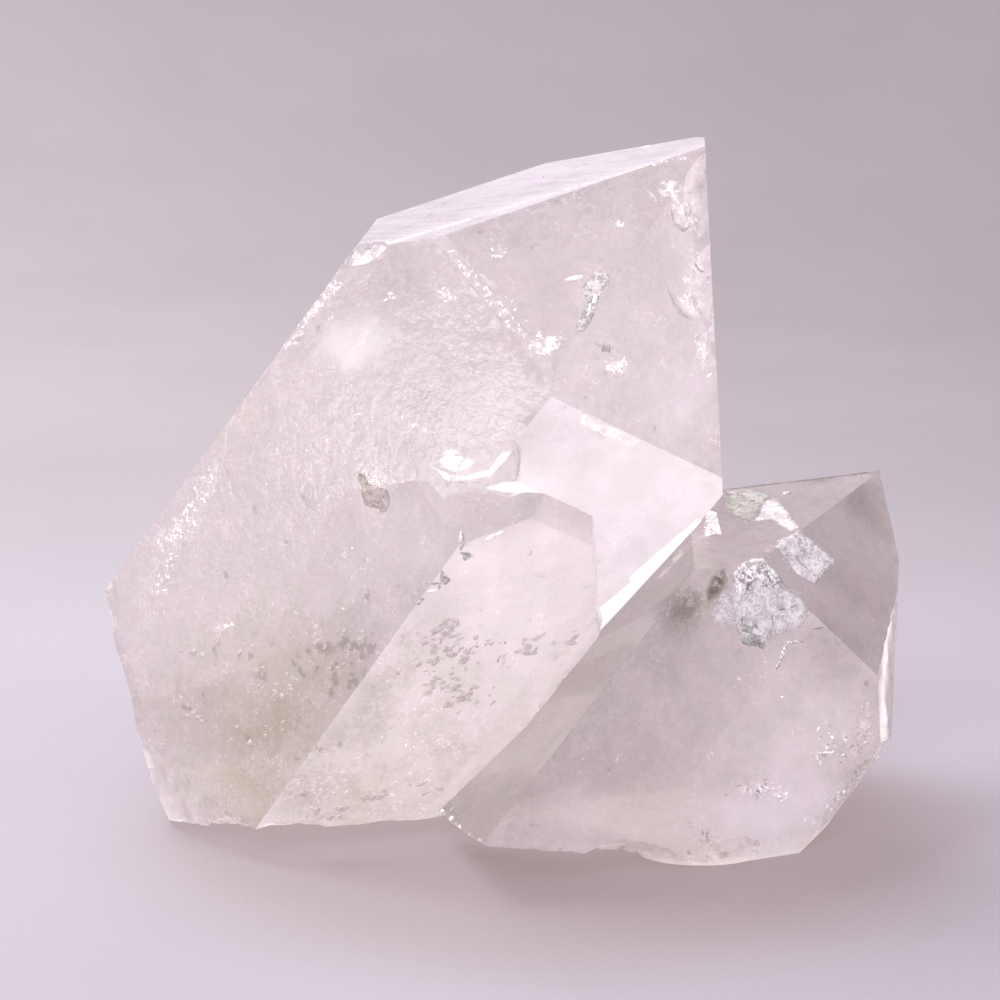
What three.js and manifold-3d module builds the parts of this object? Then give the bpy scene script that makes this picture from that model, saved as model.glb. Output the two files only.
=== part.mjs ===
// A clear quartz point: a large leaning crystal, a smaller one grown along its front, and a third
// that leans back from its foot. They grew together, so they are one solid.
//
// Millimetres and degrees, +Z up, the broken base on the ground at z = 0.

import * as THREE from 'three';
import { mergeVertices } from 'three/addons/utils/BufferGeometryUtils.js';
import Module from 'manifold-3d';

// ---------------------------------------------------------------------------------------------
// Driving dimensions
// ---------------------------------------------------------------------------------------------

// Quartz grows as a six-sided prism with six sloping faces at the tip, sixty degrees apart. An
// ideal side lies square to the long axis, and an ideal tip face's normal leans 51.8 degrees from
// it. A face is placed by its step, the count of sixties around the axis from the crystal's twist,
// and by its reach, the distance from the origin along the face's outward normal. A real face
// drifts from the ideal: turned is the drift around the axis, leaned the drift away from the tip.
const SIDE_SLOPE = 90;
const TIP_SLOPE = 51.8;
const STEP_ANGLE = 60;

// The long axis points to a compass heading, counted from +X towards +Y, and rises above the
// ground. Twist counts around the axis from the level direction square to it.
const MAIN_CRYSTAL = {
  heading: -17.4,
  rise: 52.6,
  twist: 103.1,
  sides: {
    upperLeft: { step: 0, reach: 47.3, turned: -1.3 },
    frontLeft: { step: 1, reach: 20.2, turned: -1.7 },
    frontRight: { step: 2, reach: -4.8 },
    lowerRight: { step: 3, reach: -4.2, leaned: 0.5 },
    backRight: { step: 4, reach: 25 },
    backLeft: { step: 5, reach: 38.3 },
  },
  tip: {
    top: { step: 0, reach: 61.6, turned: 0.5 },
    frontLeft: { step: 1, reach: 43.7, turned: 1.5, leaned: -0.8 },
    frontRight: { step: 2, reach: 23.2, leaned: 0.4 },
    right: { step: 3, reach: 24.45, turned: 5.5, leaned: -1.5 },
    backRight: { step: 4, reach: 42.5 },
    backLeft: { step: 5, reach: 63.5, leaned: -0.5 },
  },
};

// The front crystal is parallel to the main one and stands about 4 mm proud of its lower right
// side. Its front left side fades into the main crystal's.
const FRONT_CRYSTAL = {
  heading: MAIN_CRYSTAL.heading,
  rise: MAIN_CRYSTAL.rise,
  twist: MAIN_CRYSTAL.twist,
  sides: {
    upperLeft: { step: 0, reach: 34 },
    frontLeft: { step: 1, reach: 21.7, turned: -5.6, leaned: 1 },
    frontRight: { step: 2, reach: -1.4, leaned: -1.4 },
    lowerRight: { step: 3, reach: -4.7, leaned: -0.6 },
    backRight: { step: 4, reach: 12 },
    backLeft: { step: 5, reach: 15 },
  },
  tip: {
    frontLeft: { step: 1, reach: 33.1, leaned: 1.4 },
    frontRight: { step: 2, reach: 18.8, turned: 0.6, leaned: -0.6 },
    right: { step: 3, reach: 10.6, leaned: 0.6 },
    backLeft: { step: 5, reach: 24.9, turned: -0.7, leaned: -0.6 },
  },
};

// The rear crystal leans back. Where it grew against the others, a contact side stands half way
// between two ideal sides, and two worn faces have taken off its right edge.
const REAR_CRYSTAL = {
  heading: 36.1,
  rise: 41.9,
  twist: 101.6,
  sides: {
    leftContact: { step: 0, reach: 6.5, turned: -32 },
    front: { step: 1, reach: 17.2, turned: 0.5 },
    right: { step: 2, reach: 25.9, leaned: 0.7 },
    lowerBack: { step: 3, reach: 15 },
    back: { step: 4, reach: 9 },
  },
  tip: {
    topLeft: { step: -1, reach: 30.3 },
    top: { step: 0, reach: 29.6, turned: -0.6 },
    front: { step: 1, reach: 34.5, leaned: 1.6 },
    right: { step: 2, reach: 39.2, turned: -8.5, leaned: 6.8 },
    rightUpperWorn: { step: 2, reach: 45.9, turned: -14, leaned: -6.6 },
    rightLowerWorn: { step: 2, reach: 37.5, turned: -22, leaned: 8 },
    lowerBack: { step: 3, reach: 48 },
    back: { step: 4, reach: 42 },
  },
};

// Broken surfaces, each a rough plane given by its outward heading, its rise and its reach.
const MAIN_BREAKS = {
  leftUpper: { heading: -171.2, rise: -9.7, reach: 34.7 },
  leftLower: { heading: -167.2, rise: -21.3, reach: 30.4 },
  leftFrontCorner: { heading: -136.7, rise: -17.1, reach: 21.8 },
  underFront: { heading: -81.9, rise: -78.4, reach: -2 },
  underBack: { heading: 93.8, rise: -39.7, reach: 21 },
  lowerRightEdge: { heading: -40.2, rise: -42.8, reach: -9.8 },
  tipShoulder: { heading: -108.5, rise: 25.8, reach: 33.7 },
};
const FRONT_BREAKS = {
  leftUpper: MAIN_BREAKS.leftUpper,
  leftLower: MAIN_BREAKS.leftLower,
  leftFrontCorner: MAIN_BREAKS.leftFrontCorner,
  underFront: MAIN_BREAKS.underFront,
  rightCornerChip: { heading: -51.6, rise: -32.1, reach: -4 },
};
const REAR_BREAKS = {
  underFront: { heading: -130, rise: -77.2, reach: -1.6 },
  underLeftCorner: { heading: -152.1, rise: -51.8, reach: 2.1 },
};

// A low knob of crystal at the foot of the rear crystal, which carries its front edge.
const FOOT = { at: [20, -5.9, 1], radii: [6.6, 4.2, 2.6] };

// The main crystal's front ridge is chipped away where the front crystal's tip joins it.
const RIDGE_HOLLOW = { at: [-1.8, -14, 39.4], facing: [-0.13, -0.98, -0.13], width: 11, depth: 2.1 };

// Conchoidal chips: shallow round hollows, by where they sit, the way they face, width and depth.
const CHIPS = [
  { at: [19.4, -1.6, 64.8], facing: [0.8, -0.6, 0.2], width: 7.2, depth: 0.7 },
  { at: [20.4, -2.4, 57.1], facing: [0.8, -0.6, 0.1], width: 7.6, depth: 0.8 },
  { at: [21.1, -3.2, 51.9], facing: [0.8, -0.6, 0.1], width: 4, depth: 0.5 },
  { at: [-24.1, 2.4, 47.9], facing: [-0.8, -0.5, 0.4], width: 4.4, depth: 0.5 },
  { at: [-20.8, 1.3, 52.1], facing: [-0.8, -0.5, 0.4], width: 3.8, depth: 0.4 },
  { at: [-13.4, -0.6, 60.4], facing: [-0.5, -0.6, 0.7], width: 5, depth: 0.5 },
  { at: [-40.4, 7, 22.6], facing: [-0.9, -0.4, 0], width: 6, depth: 0.7 },
  { at: [37, -1, 6.6], facing: [0.7, -0.7, -0.2], width: 5, depth: 0.5 },
  { at: [34.3, -2.9, 4.1], facing: [0.7, -0.7, -0.2], width: 5, depth: 0.6 },
  { at: [22, 16, 61], facing: [0.7, 0.6, 0.4], width: 8, depth: 0.8 },
  { at: [30, 20, 12], facing: [0.4, 0.5, -0.7], width: 12, depth: 0.9 },
];

// Larger shell-shaped hollows of the broken base.
const BASE_SCOOPS = [
  { at: [-37.6, 10, 12], facing: [-0.95, 0, -0.3], width: 17, depth: 1.3 },
  { at: [-38.6, 24, 16], facing: [-0.95, 0.1, -0.2], width: 15, depth: 1.2 },
  { at: [-35.6, 22, 5], facing: [-0.9, 0.1, -0.4], width: 13, depth: 1.3 },
  { at: [-25.8, 32, 6], facing: [0, 0.77, -0.64], width: 13, depth: 1.1 },
  { at: [-11, 33, 6], facing: [0, 0.77, -0.64], width: 15, depth: 1.3 },
  { at: [-29.4, -5, 2.6], facing: [0, -0.5, -0.86], width: 8, depth: 0.7 },
  { at: [-19.6, -6.4, 2.4], facing: [0, -0.5, -0.86], width: 9, depth: 0.7 },
  { at: [-9.8, -3.6, 1.9], facing: [0, -0.5, -0.86], width: 9, depth: 0.7 },
  { at: [12.6, -12.6, 2.2], facing: [0.1, -0.6, -0.8], width: 9, depth: 1 },
];

// A block this large reaches past the whole cluster on every side.
const BLOCK = 260;
// How finely the round chips are cut: subdivisions of an icosahedron's edge.
const CHIP_DETAIL = 9;
const FOOT_DETAIL = 4;

// ---------------------------------------------------------------------------------------------
// Solids
// ---------------------------------------------------------------------------------------------

const wasm = await Module();
wasm.setup();

const UP = new THREE.Vector3(0, 0, 1);

function toSolid(geometry) {
  const bare = geometry.clone();
  bare.deleteAttribute('normal');
  bare.deleteAttribute('uv');
  const merged = mergeVertices(bare);
  return new wasm.Manifold(new wasm.Mesh({
    numProp: 3,
    vertProperties: new Float32Array(merged.attributes.position.array),
    triVerts: new Uint32Array(merged.index.array),
  }));
}

function toGeometry(solid) {
  const { vertProperties, triVerts } = solid.getMesh();
  const geometry = new THREE.BufferGeometry();
  geometry.setAttribute('position', new THREE.BufferAttribute(vertProperties, 3));
  geometry.setIndex(new THREE.BufferAttribute(triVerts, 1));
  return geometry;
}

// A unit vector from a compass heading and a rise above the ground.
function direction({ heading, rise }) {
  const polar = THREE.MathUtils.degToRad(90 - rise);
  const azimuth = THREE.MathUtils.degToRad(heading);
  return new THREE.Vector3(
    Math.sin(polar) * Math.cos(azimuth),
    Math.sin(polar) * Math.sin(azimuth),
    Math.cos(polar),
  );
}

// The outward normal of a face at a turn around the axis and a slope away from its tip.
function growthNormal(axis, turn, slope) {
  const level = new THREE.Vector3().crossVectors(UP, axis).normalize();
  return level.applyAxisAngle(axis, THREE.MathUtils.degToRad(turn))
    .multiplyScalar(Math.sin(THREE.MathUtils.degToRad(slope)))
    .addScaledVector(axis, Math.cos(THREE.MathUtils.degToRad(slope)));
}

function growthPlanes(crystal, faces, idealSlope) {
  const axis = direction(crystal);
  return Object.values(faces).map(({ step, reach, turned = 0, leaned = 0 }) => ({
    normal: growthNormal(axis, crystal.twist + STEP_ANGLE * step + turned, idealSlope + leaned),
    reach,
  }));
}

// A large block that starts at the plane and fills everything beyond it.
function blockBeyond(normal, reach) {
  const block = new THREE.BoxGeometry(BLOCK, BLOCK, BLOCK);
  block.translate(0, 0, BLOCK / 2 + reach);
  block.applyQuaternion(new THREE.Quaternion().setFromUnitVectors(UP, normal));
  return toSolid(block);
}

function cutFaces(solid, planes) {
  return planes.reduce((rest, { normal, reach }) => rest.subtract(blockBeyond(normal, reach)), solid);
}

function growCrystal(crystal, breaks) {
  const broken = Object.values(breaks).map((face) => ({
    normal: direction(face),
    reach: face.reach,
  }));
  const rough = toSolid(new THREE.BoxGeometry(BLOCK, BLOCK, BLOCK));
  return cutFaces(rough, [
    ...growthPlanes(crystal, crystal.sides, SIDE_SLOPE),
    ...growthPlanes(crystal, crystal.tip, TIP_SLOPE),
    ...broken,
  ]);
}

// The ball whose cap makes a hollow of the wanted width and depth at a point on the surface.
function chipBall({ at, facing, width, depth }) {
  const radius = (width * width / 4 + depth * depth) / (2 * depth);
  const out = new THREE.Vector3(...facing).normalize();
  const centre = new THREE.Vector3(...at).addScaledVector(out, radius - depth);
  const ball = new THREE.IcosahedronGeometry(radius, CHIP_DETAIL);
  ball.translate(centre.x, centre.y, centre.z);
  return toSolid(ball);
}

function footKnob({ at, radii }) {
  const knob = new THREE.IcosahedronGeometry(1, FOOT_DETAIL);
  knob.scale(...radii);
  knob.translate(...at);
  return toSolid(knob);
}

// ---------------------------------------------------------------------------------------------
// The cluster
// ---------------------------------------------------------------------------------------------

const mainCrystal = growCrystal(MAIN_CRYSTAL, MAIN_BREAKS).subtract(chipBall(RIDGE_HOLLOW));
const frontCrystal = growCrystal(FRONT_CRYSTAL, FRONT_BREAKS);
const rearCrystal = growCrystal(REAR_CRYSTAL, REAR_BREAKS);

const grownTogether = mainCrystal.add(frontCrystal).add(rearCrystal).add(footKnob(FOOT));
const chipped = [...CHIPS, ...BASE_SCOOPS].reduce(
  (rest, chip) => rest.subtract(chipBall(chip)),
  grownTogether,
);
const standing = chipped.subtract(blockBeyond(new THREE.Vector3(0, 0, -1), 0));

const clusterGeometry = toGeometry(standing);
clusterGeometry.computeBoundingBox();
const box = clusterGeometry.boundingBox;
clusterGeometry.translate(-(box.min.x + box.max.x) / 2, -(box.min.y + box.max.y) / 2, -box.min.z);

const quartz = new THREE.MeshStandardMaterial({
  color: 0xf2e8ec,
  roughness: 0.08,
  metalness: 0,
  transparent: true,
  opacity: 0.6,
  flatShading: true,
});

const cluster = new THREE.Mesh(clusterGeometry, quartz);
cluster.name = 'quartz_cluster';

const group = new THREE.Group();
group.add(cluster);

export default group;
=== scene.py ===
# %% [markdown]
# # A clear quartz point, in light
#
# The real object is a hand-sized quartz specimen: a big leaning crystal, a smaller one grown
# along its front, and a third that leans back from the foot. This lesson wraps looks around the
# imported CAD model. The CAD model comes first, because every length here is counted from it.

import math
import random

import bmesh
import bpy
import numpy as np
from mathutils import Matrix, Vector, noise
from mathutils.bvhtree import BVHTree


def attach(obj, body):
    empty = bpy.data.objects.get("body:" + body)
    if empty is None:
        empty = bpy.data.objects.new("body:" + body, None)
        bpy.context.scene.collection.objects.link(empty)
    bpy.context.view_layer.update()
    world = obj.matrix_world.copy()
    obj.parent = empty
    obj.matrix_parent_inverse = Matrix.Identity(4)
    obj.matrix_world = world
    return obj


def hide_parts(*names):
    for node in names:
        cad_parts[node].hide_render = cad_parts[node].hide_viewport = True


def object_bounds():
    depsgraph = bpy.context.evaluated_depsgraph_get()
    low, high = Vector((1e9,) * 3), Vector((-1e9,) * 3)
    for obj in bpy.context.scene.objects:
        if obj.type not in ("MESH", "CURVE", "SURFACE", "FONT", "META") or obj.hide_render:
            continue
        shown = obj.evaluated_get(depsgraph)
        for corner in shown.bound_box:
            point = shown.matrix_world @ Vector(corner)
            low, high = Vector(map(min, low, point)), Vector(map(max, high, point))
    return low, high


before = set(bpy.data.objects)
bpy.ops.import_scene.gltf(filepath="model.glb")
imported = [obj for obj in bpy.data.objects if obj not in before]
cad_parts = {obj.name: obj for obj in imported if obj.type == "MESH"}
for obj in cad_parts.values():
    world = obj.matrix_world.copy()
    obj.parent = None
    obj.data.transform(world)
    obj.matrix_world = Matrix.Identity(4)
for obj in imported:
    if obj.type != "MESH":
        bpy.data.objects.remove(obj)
cad_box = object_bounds()
MM = 0.001
scene = bpy.context.scene
print("CAD box in mm:", [[round(c / MM, 1) for c in corner] for corner in cad_box])

# %% [markdown]
# ## Where the camera stands
#
# The specimen was looked at from a little above, from about 28 cm. A camera aims along its own
# -Z, so a turn of 90 degrees about X makes it level, and a few degrees less tips it down.

# %% Camera
LOOK_AT = Vector((-0.95, -8.89, 35.0)) * MM
LOOK_DOWN = math.radians(12)
LOOK_FROM = 278 * MM
SENSOR = 36
FRAME_PER_LENS = 2.78

camera_data = bpy.data.cameras.new("camera")
camera_data.sensor_width = SENSOR
camera_data.lens = SENSOR * FRAME_PER_LENS
camera_data.clip_start = 1 * MM
camera = bpy.data.objects.new("camera", camera_data)
camera.location = LOOK_AT + LOOK_FROM * Vector((0, -math.cos(LOOK_DOWN), math.sin(LOOK_DOWN)))
camera.rotation_euler = (math.radians(90) - LOOK_DOWN, 0, 0)
scene.collection.objects.link(camera)
scene.camera = camera
print("lens in mm:", round(camera_data.lens, 1))

# %% [markdown]
# ## Shader maths as Python
#
# A node tree could be wired by hand, one link at a time, which hides the sum it works out. Here
# a small class wraps a socket, so that `1 - mask * 0.5` adds its own Math nodes, and one method
# makes any other node: first its settings, then the values or links of its sockets.

# %% A socket that can be added and multiplied
class Wire:
    def __init__(self, shader, socket):
        self.shader, self.socket = shader, socket

    def maths(self, operation, *values):
        made = self.shader.node("Math", {"operation": operation}, dict(enumerate(values)))
        return made.wire("Value")

    def __add__(self, other): return self.maths("ADD", self, other)
    def __radd__(self, other): return self.maths("ADD", other, self)
    def __sub__(self, other): return self.maths("SUBTRACT", self, other)
    def __rsub__(self, other): return self.maths("SUBTRACT", other, self)
    def __mul__(self, other): return self.maths("MULTIPLY", self, other)
    def __rmul__(self, other): return self.maths("MULTIPLY", other, self)

    def size(self):
        return self.maths("ABSOLUTE", self)

    def clamped(self):
        made = self.shader.node("Clamp", {}, {"Value": self})
        return made.wire("Result")

    def between(self, low, high):
        """0 below low, 1 above high, and a soft rise between them."""
        made = self.shader.node("MapRange", {"interpolation_type": "SMOOTHSTEP"},
                                {"Value": self, "From Min": low, "From Max": high})
        return made.wire("Result")


# %% A node, and the shader it belongs to
class Made:
    def __init__(self, shader, node):
        self.shader, self.node = shader, node

    def wire(self, name):
        return Wire(self.shader, self.node.outputs[name])


class Shader:
    def __init__(self, name):
        self.material = bpy.data.materials.new(name)
        self.material.use_nodes = True
        self.tree = self.material.node_tree
        self.tree.nodes.clear()

    def node(self, kind, settings, sockets):
        made = self.tree.nodes.new("ShaderNode" + kind)
        for setting, value in settings.items():
            setattr(made, setting, value)
        for socket, value in sockets.items():
            if isinstance(value, Wire):
                self.tree.links.new(value.socket, made.inputs[socket])
            else:
                made.inputs[socket].default_value = value
        return Made(self, made)

    def mixed(self, amount, first, second):
        made = self.node("Mix", {"data_type": "RGBA"}, {0: amount, 6: first, 7: second})
        return Wire(self, made.node.outputs[2])

    def multiplied(self, first, second):
        made = self.node("Mix", {"data_type": "RGBA", "blend_type": "MULTIPLY"},
                         {0: 1.0, 6: first, 7: second})
        return Wire(self, made.node.outputs[2])

    def blended(self, amount, first, second):
        made = self.node("MixShader", {}, {0: amount, 1: first, 2: second})
        return made.wire("Shader")

    def place(self):
        """Where a point is on the piece, counted in millimetres."""
        here = self.node("TexCoord", {}, {}).wire("Object")
        made = self.node("VectorMath", {"operation": "SCALE"}, {0: here, "Scale": 1 / MM})
        return made.wire("Vector")

    def grain(self, place, scale, detail=3, roughness=0.5, distortion=0):
        made = self.node("TexNoise", {}, {"Vector": place, "Scale": scale, "Detail": detail,
                                          "Roughness": roughness, "Distortion": distortion})
        return made.wire("Factor" if "Factor" in made.node.outputs else "Fac")

    def attribute(self, name, output="Fac"):
        made = self.node("Attribute", {"attribute_name": name}, {})
        return made.wire(output)

    def finish(self, surface):
        self.node("OutputMaterial", {}, {"Surface": surface})
        self.material.cycles.emission_sampling = "NONE"
        print("material", self.material.name, "has", len(self.tree.nodes), "nodes")
        return self.material


def colour(red, green, blue):
    return (red, green, blue, 1)


# %% [markdown]
# ## The studio
#
# A crystal shows its surroundings, so a plain pale floor has to reach past the horizon on every
# side. A flat plane would end in a hard line. One sheet of paper curved up like a bowl has no
# line from any side, and spinning its profile makes it in one step.

# %% Paper bowl
BOWL_FLAT = 360 * MM
BOWL_BEND = 300 * MM
BOWL_TOP = 400 * MM
BELOW_STONE = 0.05 * MM
BEND_STEPS = 12
ROUND_STEPS = 96


def paper_bowl():
    bm = bmesh.new()
    rim = [bm.verts.new((0, 0, -BELOW_STONE)), bm.verts.new((BOWL_FLAT, 0, -BELOW_STONE))]
    flat = bm.edges.new(rim)
    bend = bmesh.ops.spin(bm, geom=[rim[1]], cent=(BOWL_FLAT, 0, BOWL_BEND), axis=(0, -1, 0),
                          angle=math.radians(90), steps=BEND_STEPS)
    top = [g for g in bend["geom_last"] if isinstance(g, bmesh.types.BMVert)]
    wall = bmesh.ops.extrude_vert_indiv(bm, verts=top)
    for vert in wall["verts"]:
        vert.co.z = BOWL_TOP
    bmesh.ops.spin(bm, geom=bm.verts[:] + bm.edges[:], cent=(0, 0, 0), axis=(0, 0, 1),
                   angle=math.tau, steps=ROUND_STEPS, use_merge=True)
    bmesh.ops.remove_doubles(bm, verts=bm.verts, dist=0.01 * MM)
    bmesh.ops.recalc_face_normals(bm, faces=bm.faces)
    for face in bm.faces:
        face.smooth = True
    return bm


def add_piece(name, bm):
    mesh = bpy.data.meshes.new(name)
    bm.to_mesh(mesh)
    bm.free()
    piece = bpy.data.objects.new(name, mesh)
    scene.collection.objects.link(piece)
    print(name, "has", len(mesh.polygons), "faces")
    return piece


bowl = add_piece("paper_bowl", paper_bowl())
if bowl.data.polygons[0].normal.z < 0:
    bowl.data.flip_normals()

# %% [markdown]
# Studio paper isn't one flat colour: it has a fine tooth and a faint unevenness. On top of that
# sits painted light: a painted pool of light makes it brightest round the stone, and a painted
# shadow makes it a little darker and warmer right under it.

# %% Paper finish
PAPER = colour(0.395, 0.358, 0.386)
PAPER_DEEP = colour(0.375, 0.339, 0.366)
# painted light on the paper: a brighter, bluer painted pool round the stone, and a darker, warmer
# painted shadow under it
PAPER_PAINTED_POOL = colour(1.09, 1.13, 1.18)
PAPER_FAR = colour(0.93, 0.935, 0.94)
PAPER_PAINTED_SHADOW = colour(0.99, 0.955, 0.93)
STONE_MIDDLE = (3, -6, 0)
UNDER_STONE = (30, 52)
LIGHT_POOL = (60, 220)


def studio_paper():
    shader = Shader("studio_paper")
    place = shader.place()
    tooth = shader.grain(place, 1.6, detail=2)
    patches = shader.grain(place, 0.02, detail=2)
    away = shader.node("VectorMath", {"operation": "DISTANCE"}, {0: place, 1: STONE_MIDDLE})
    away = away.wire("Value")
    plain = shader.mixed((patches * 0.7 + tooth * 0.3).between(0.3, 0.7), PAPER, PAPER_DEEP)
    # painted light and shade: the painted pool of light, then the painted shadow under the stone
    painted_pool_and_shadow = shader.mixed(away.between(*LIGHT_POOL), PAPER_PAINTED_POOL, PAPER_FAR)
    painted_pool_and_shadow = shader.mixed(away.between(*UNDER_STONE), PAPER_PAINTED_SHADOW, painted_pool_and_shadow)
    bump = shader.node("Bump", {}, {"Strength": 0.25, "Distance": 0.1 * MM, "Height": tooth})
    surface = shader.node("BsdfPrincipled", {}, {
        "Base Color": shader.multiplied(plain, painted_pool_and_shadow),
        "Roughness": 0.9, "Specular IOR Level": 0.2, "Normal": bump.wire("Normal")})
    return shader.finish(surface.wire("BSDF"))


bowl.data.materials.append(studio_paper())

# %% [markdown]
# ## The light
#
# The stone glows and its shadow falls forwards and to the right, so the main soft box stands
# behind it on the left. A low one at the left gives the broad gleam on the big front face, and
# a pale sky fills in the rest.

# %% Lamps and sky
def soft_box(name, at, size, power, tint, aim=(0, 0, 30)):
    data = bpy.data.lights.new(name, "AREA")
    data.shape = "RECTANGLE"
    data.size, data.size_y = size[0] * MM, size[1] * MM
    data.energy, data.color = power, tint
    lamp = bpy.data.objects.new(name, data)
    lamp.location = Vector(at) * MM
    lamp.rotation_euler = (Vector(aim) - Vector(at)).to_track_quat("-Z", "Y").to_euler()
    lamp.visible_camera = False
    scene.collection.objects.link(lamp)


soft_box("main_box", at=(-300, 270, 500), size=(360, 320), power=5.2, tint=(1, 0.985, 0.985))
soft_box("left_box", at=(-500, -285, 95), size=(120, 90), power=0.38, tint=(1, 0.98, 0.99))
soft_box("front_box", at=(-120, -520, 420), size=(420, 300), power=2.2, tint=(1, 0.985, 0.99))

sky = bpy.data.worlds.new("sky")
sky.use_nodes = True
sky.node_tree.nodes["Background"].inputs["Color"].default_value = colour(0.80, 0.74, 0.78)
sky.node_tree.nodes["Background"].inputs["Strength"].default_value = 0.60
scene.world = sky
scene.view_settings.view_transform = "Standard"

# %% [markdown]
# Clear stone sends each ray through many surfaces. A few bounces are enough for the eye and keep
# the picture quick.

# %% Ray limits
scene.cycles.max_bounces = 5
scene.cycles.diffuse_bounces = 2
scene.cycles.glossy_bounces = 2
scene.cycles.transmission_bounces = 4
scene.cycles.transparent_max_bounces = 8
scene.cycles.caustics_reflective = False
scene.cycles.caustics_refractive = False

# %% [markdown]
# ## How the crystals lie
#
# Quartz grows six sides at right angles to its long axis, and six tip faces that lean 51.8
# degrees from it, all 60 degrees apart. Three numbers place a crystal: the heading and the rise
# of its axis, and its twist. The finish differs from face to face, so the faces need names.

# %% Growth faces
SIDE_SLOPE = 90
TIP_SLOPE = 51.8
STEP_ANGLE = 60
SEED = Vector((-0.946, -8.886, 0))
FACE_NAMES = ["upper_left", "front_left", "front_right", "lower_right", "back_right", "back_left"]
CRYSTALS = {
    "main": {"heading": -17.4, "rise": 52.6, "twist": 103.1},
    "rear": {"heading": 36.1, "rise": 41.9, "twist": 101.6},
}


def direction(heading, rise):
    heading, rise = math.radians(heading), math.radians(rise)
    return Vector((math.cos(rise) * math.cos(heading), math.cos(rise) * math.sin(heading),
                   math.sin(rise)))


def growth_normal(crystal, step, slope):
    axis = direction(crystal["heading"], crystal["rise"])
    level = Vector((0, 0, 1)).cross(axis).normalized()
    turn = Matrix.Rotation(math.radians(crystal["twist"] + STEP_ANGLE * step), 3, axis)
    slope = math.radians(slope)
    return (turn @ level) * math.sin(slope) + axis * math.cos(slope)


growth = {name: {} for name in CRYSTALS}
for name, crystal in CRYSTALS.items():
    for step, face in enumerate(FACE_NAMES):
        growth[name]["side_" + face] = growth_normal(crystal, step, SIDE_SLOPE)
        growth[name]["tip_" + face] = growth_normal(crystal, step, TIP_SLOPE)
print("main tip, front right face looks along", growth["main"]["tip_front_right"].to_tuple(2))

# %% [markdown]
# ## Which crystal a face belongs to
#
# The CAD solid is all three crystals in one. What lies beyond the main crystal's lower right
# side is the rear crystal, and what stands proud of its front right side is the front one. A
# face that looks along no growth direction is a break, and a few flat breaks have names too.

# %% Name a face
LOWER_RIGHT_REACH = -4.2
FRONT_RIGHT_REACH = -4.8
PROUD = 0.35
GROWTH_MATCH = 11
BREAK_MATCH = 4
FLAT_BREAKS = {
    "main pale_band": direction(-40, -43), "main left_end": direction(-171, -10),
    "main left_foot": direction(-167, -21), "main left_corner": direction(-137, -17),
    "front corner_chip": direction(-52, -32), "rear right_strip": direction(-3, -12),
    "rear contact": direction(-173, 44),
}


def reach_of(point, normal):
    return (point / MM - SEED).dot(normal)


def crystal_of(point):
    if reach_of(point, growth["main"]["side_lower_right"]) > LOWER_RIGHT_REACH + PROUD:
        return "rear"
    if reach_of(point, growth["main"]["side_front_right"]) > FRONT_RIGHT_REACH + PROUD:
        return "front"
    return "main"


def nearest_to(normal, family, limit):
    name = min(family, key=lambda face: family[face].angle(normal))
    return name if family[name].angle(normal) < math.radians(limit) else None


def face_name(point, normal):
    known = nearest_to(normal, FLAT_BREAKS, BREAK_MATCH)
    if known:
        return known
    crystal = crystal_of(point)
    family = growth["rear" if crystal == "rear" else "main"]
    return crystal + " " + (nearest_to(normal, family, GROWTH_MATCH) or "break")


# %% [markdown]
# ## The stone's mesh
#
# The CAD mesh is right in shape but each face is a few huge triangles, with knife edges. Real
# edges are worn and nibbled, and breaks are rough. So a copy is merged, its edges are bevelled,
# and a grid of cuts gives it small faces everywhere without moving anything. Then only what is
# rough on the real stone is moved, and only inwards, so that the stone keeps its size.

# %% Copy and merge
stone_bm = bmesh.new()
stone_bm.from_mesh(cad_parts["quartz_cluster"].data)
bmesh.ops.remove_doubles(stone_bm, verts=stone_bm.verts, dist=0.1e-3 * MM)
print("merged points:", len(stone_bm.verts))

# %% [markdown]
# The CAD model has a guessed round chip in the rear crystal's hidden back. Seen through the
# stone it would act as a lens and draw a bright ring that isn't there, so here it is filled.

# %% Fill the hidden hollow
HOLLOW_AT = Vector((29, 11.1, 12))
HOLLOW_REACH = 7.5
BACK_REACH = 15
back_way = growth["rear"]["side_lower_right"]
filled = [v for v in stone_bm.verts
          if (v.co / MM - HOLLOW_AT).length < HOLLOW_REACH
          and -1.2 < reach_of(v.co, back_way) - BACK_REACH < -0.01]
for vert in filled:
    vert.co += back_way * (BACK_REACH - reach_of(vert.co, back_way)) * MM
print("filled points:", len(filled))

# %% Name the faces and wear the edges
EDGE_WIDTH = 0.16 * MM
EDGE_STEPS = 2
SHARP_EDGE = 14
LONG_EDGE = 1.2 * MM
FLAT_ENOUGH = math.radians(0.5)

bmesh.ops.dissolve_limit(stone_bm, angle_limit=FLAT_ENOUGH, verts=stone_bm.verts,
                         edges=stone_bm.edges)
kind = stone_bm.faces.layers.int.new("kind")
kinds = ["edge"]
for face in stone_bm.faces:
    name = face_name(face.calc_center_median(), face.normal)
    if name not in kinds:
        kinds.append(name)
    face[kind] = kinds.index(name)


def worn_edge(edge):
    if len(edge.link_faces) != 2 or edge.calc_length() < LONG_EDGE:
        return False
    names = [kinds[face[kind]] for face in edge.link_faces]
    return (names[0] != names[1] and not all(name.endswith("break") for name in names)
            and edge.is_convex and edge.calc_face_angle() > math.radians(SHARP_EDGE))


worn = [edge for edge in stone_bm.edges if worn_edge(edge)]
bevelled = bmesh.ops.bevel(stone_bm, geom=worn, affect="EDGES", offset=EDGE_WIDTH,
                           segments=EDGE_STEPS, profile=0.5, material=-1, clamp_overlap=True)
for face in bevelled["faces"]:
    face[kind] = 0
print("worn edges:", len(worn), "kinds of face:", len(kinds))
print(sorted(kinds))

# %% Cut into small faces
CELL = 1.0 * MM
THIN = 0.01 * MM
BROKEN = ("break", "left_end", "left_foot", "left_corner", "corner_chip")


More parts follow.
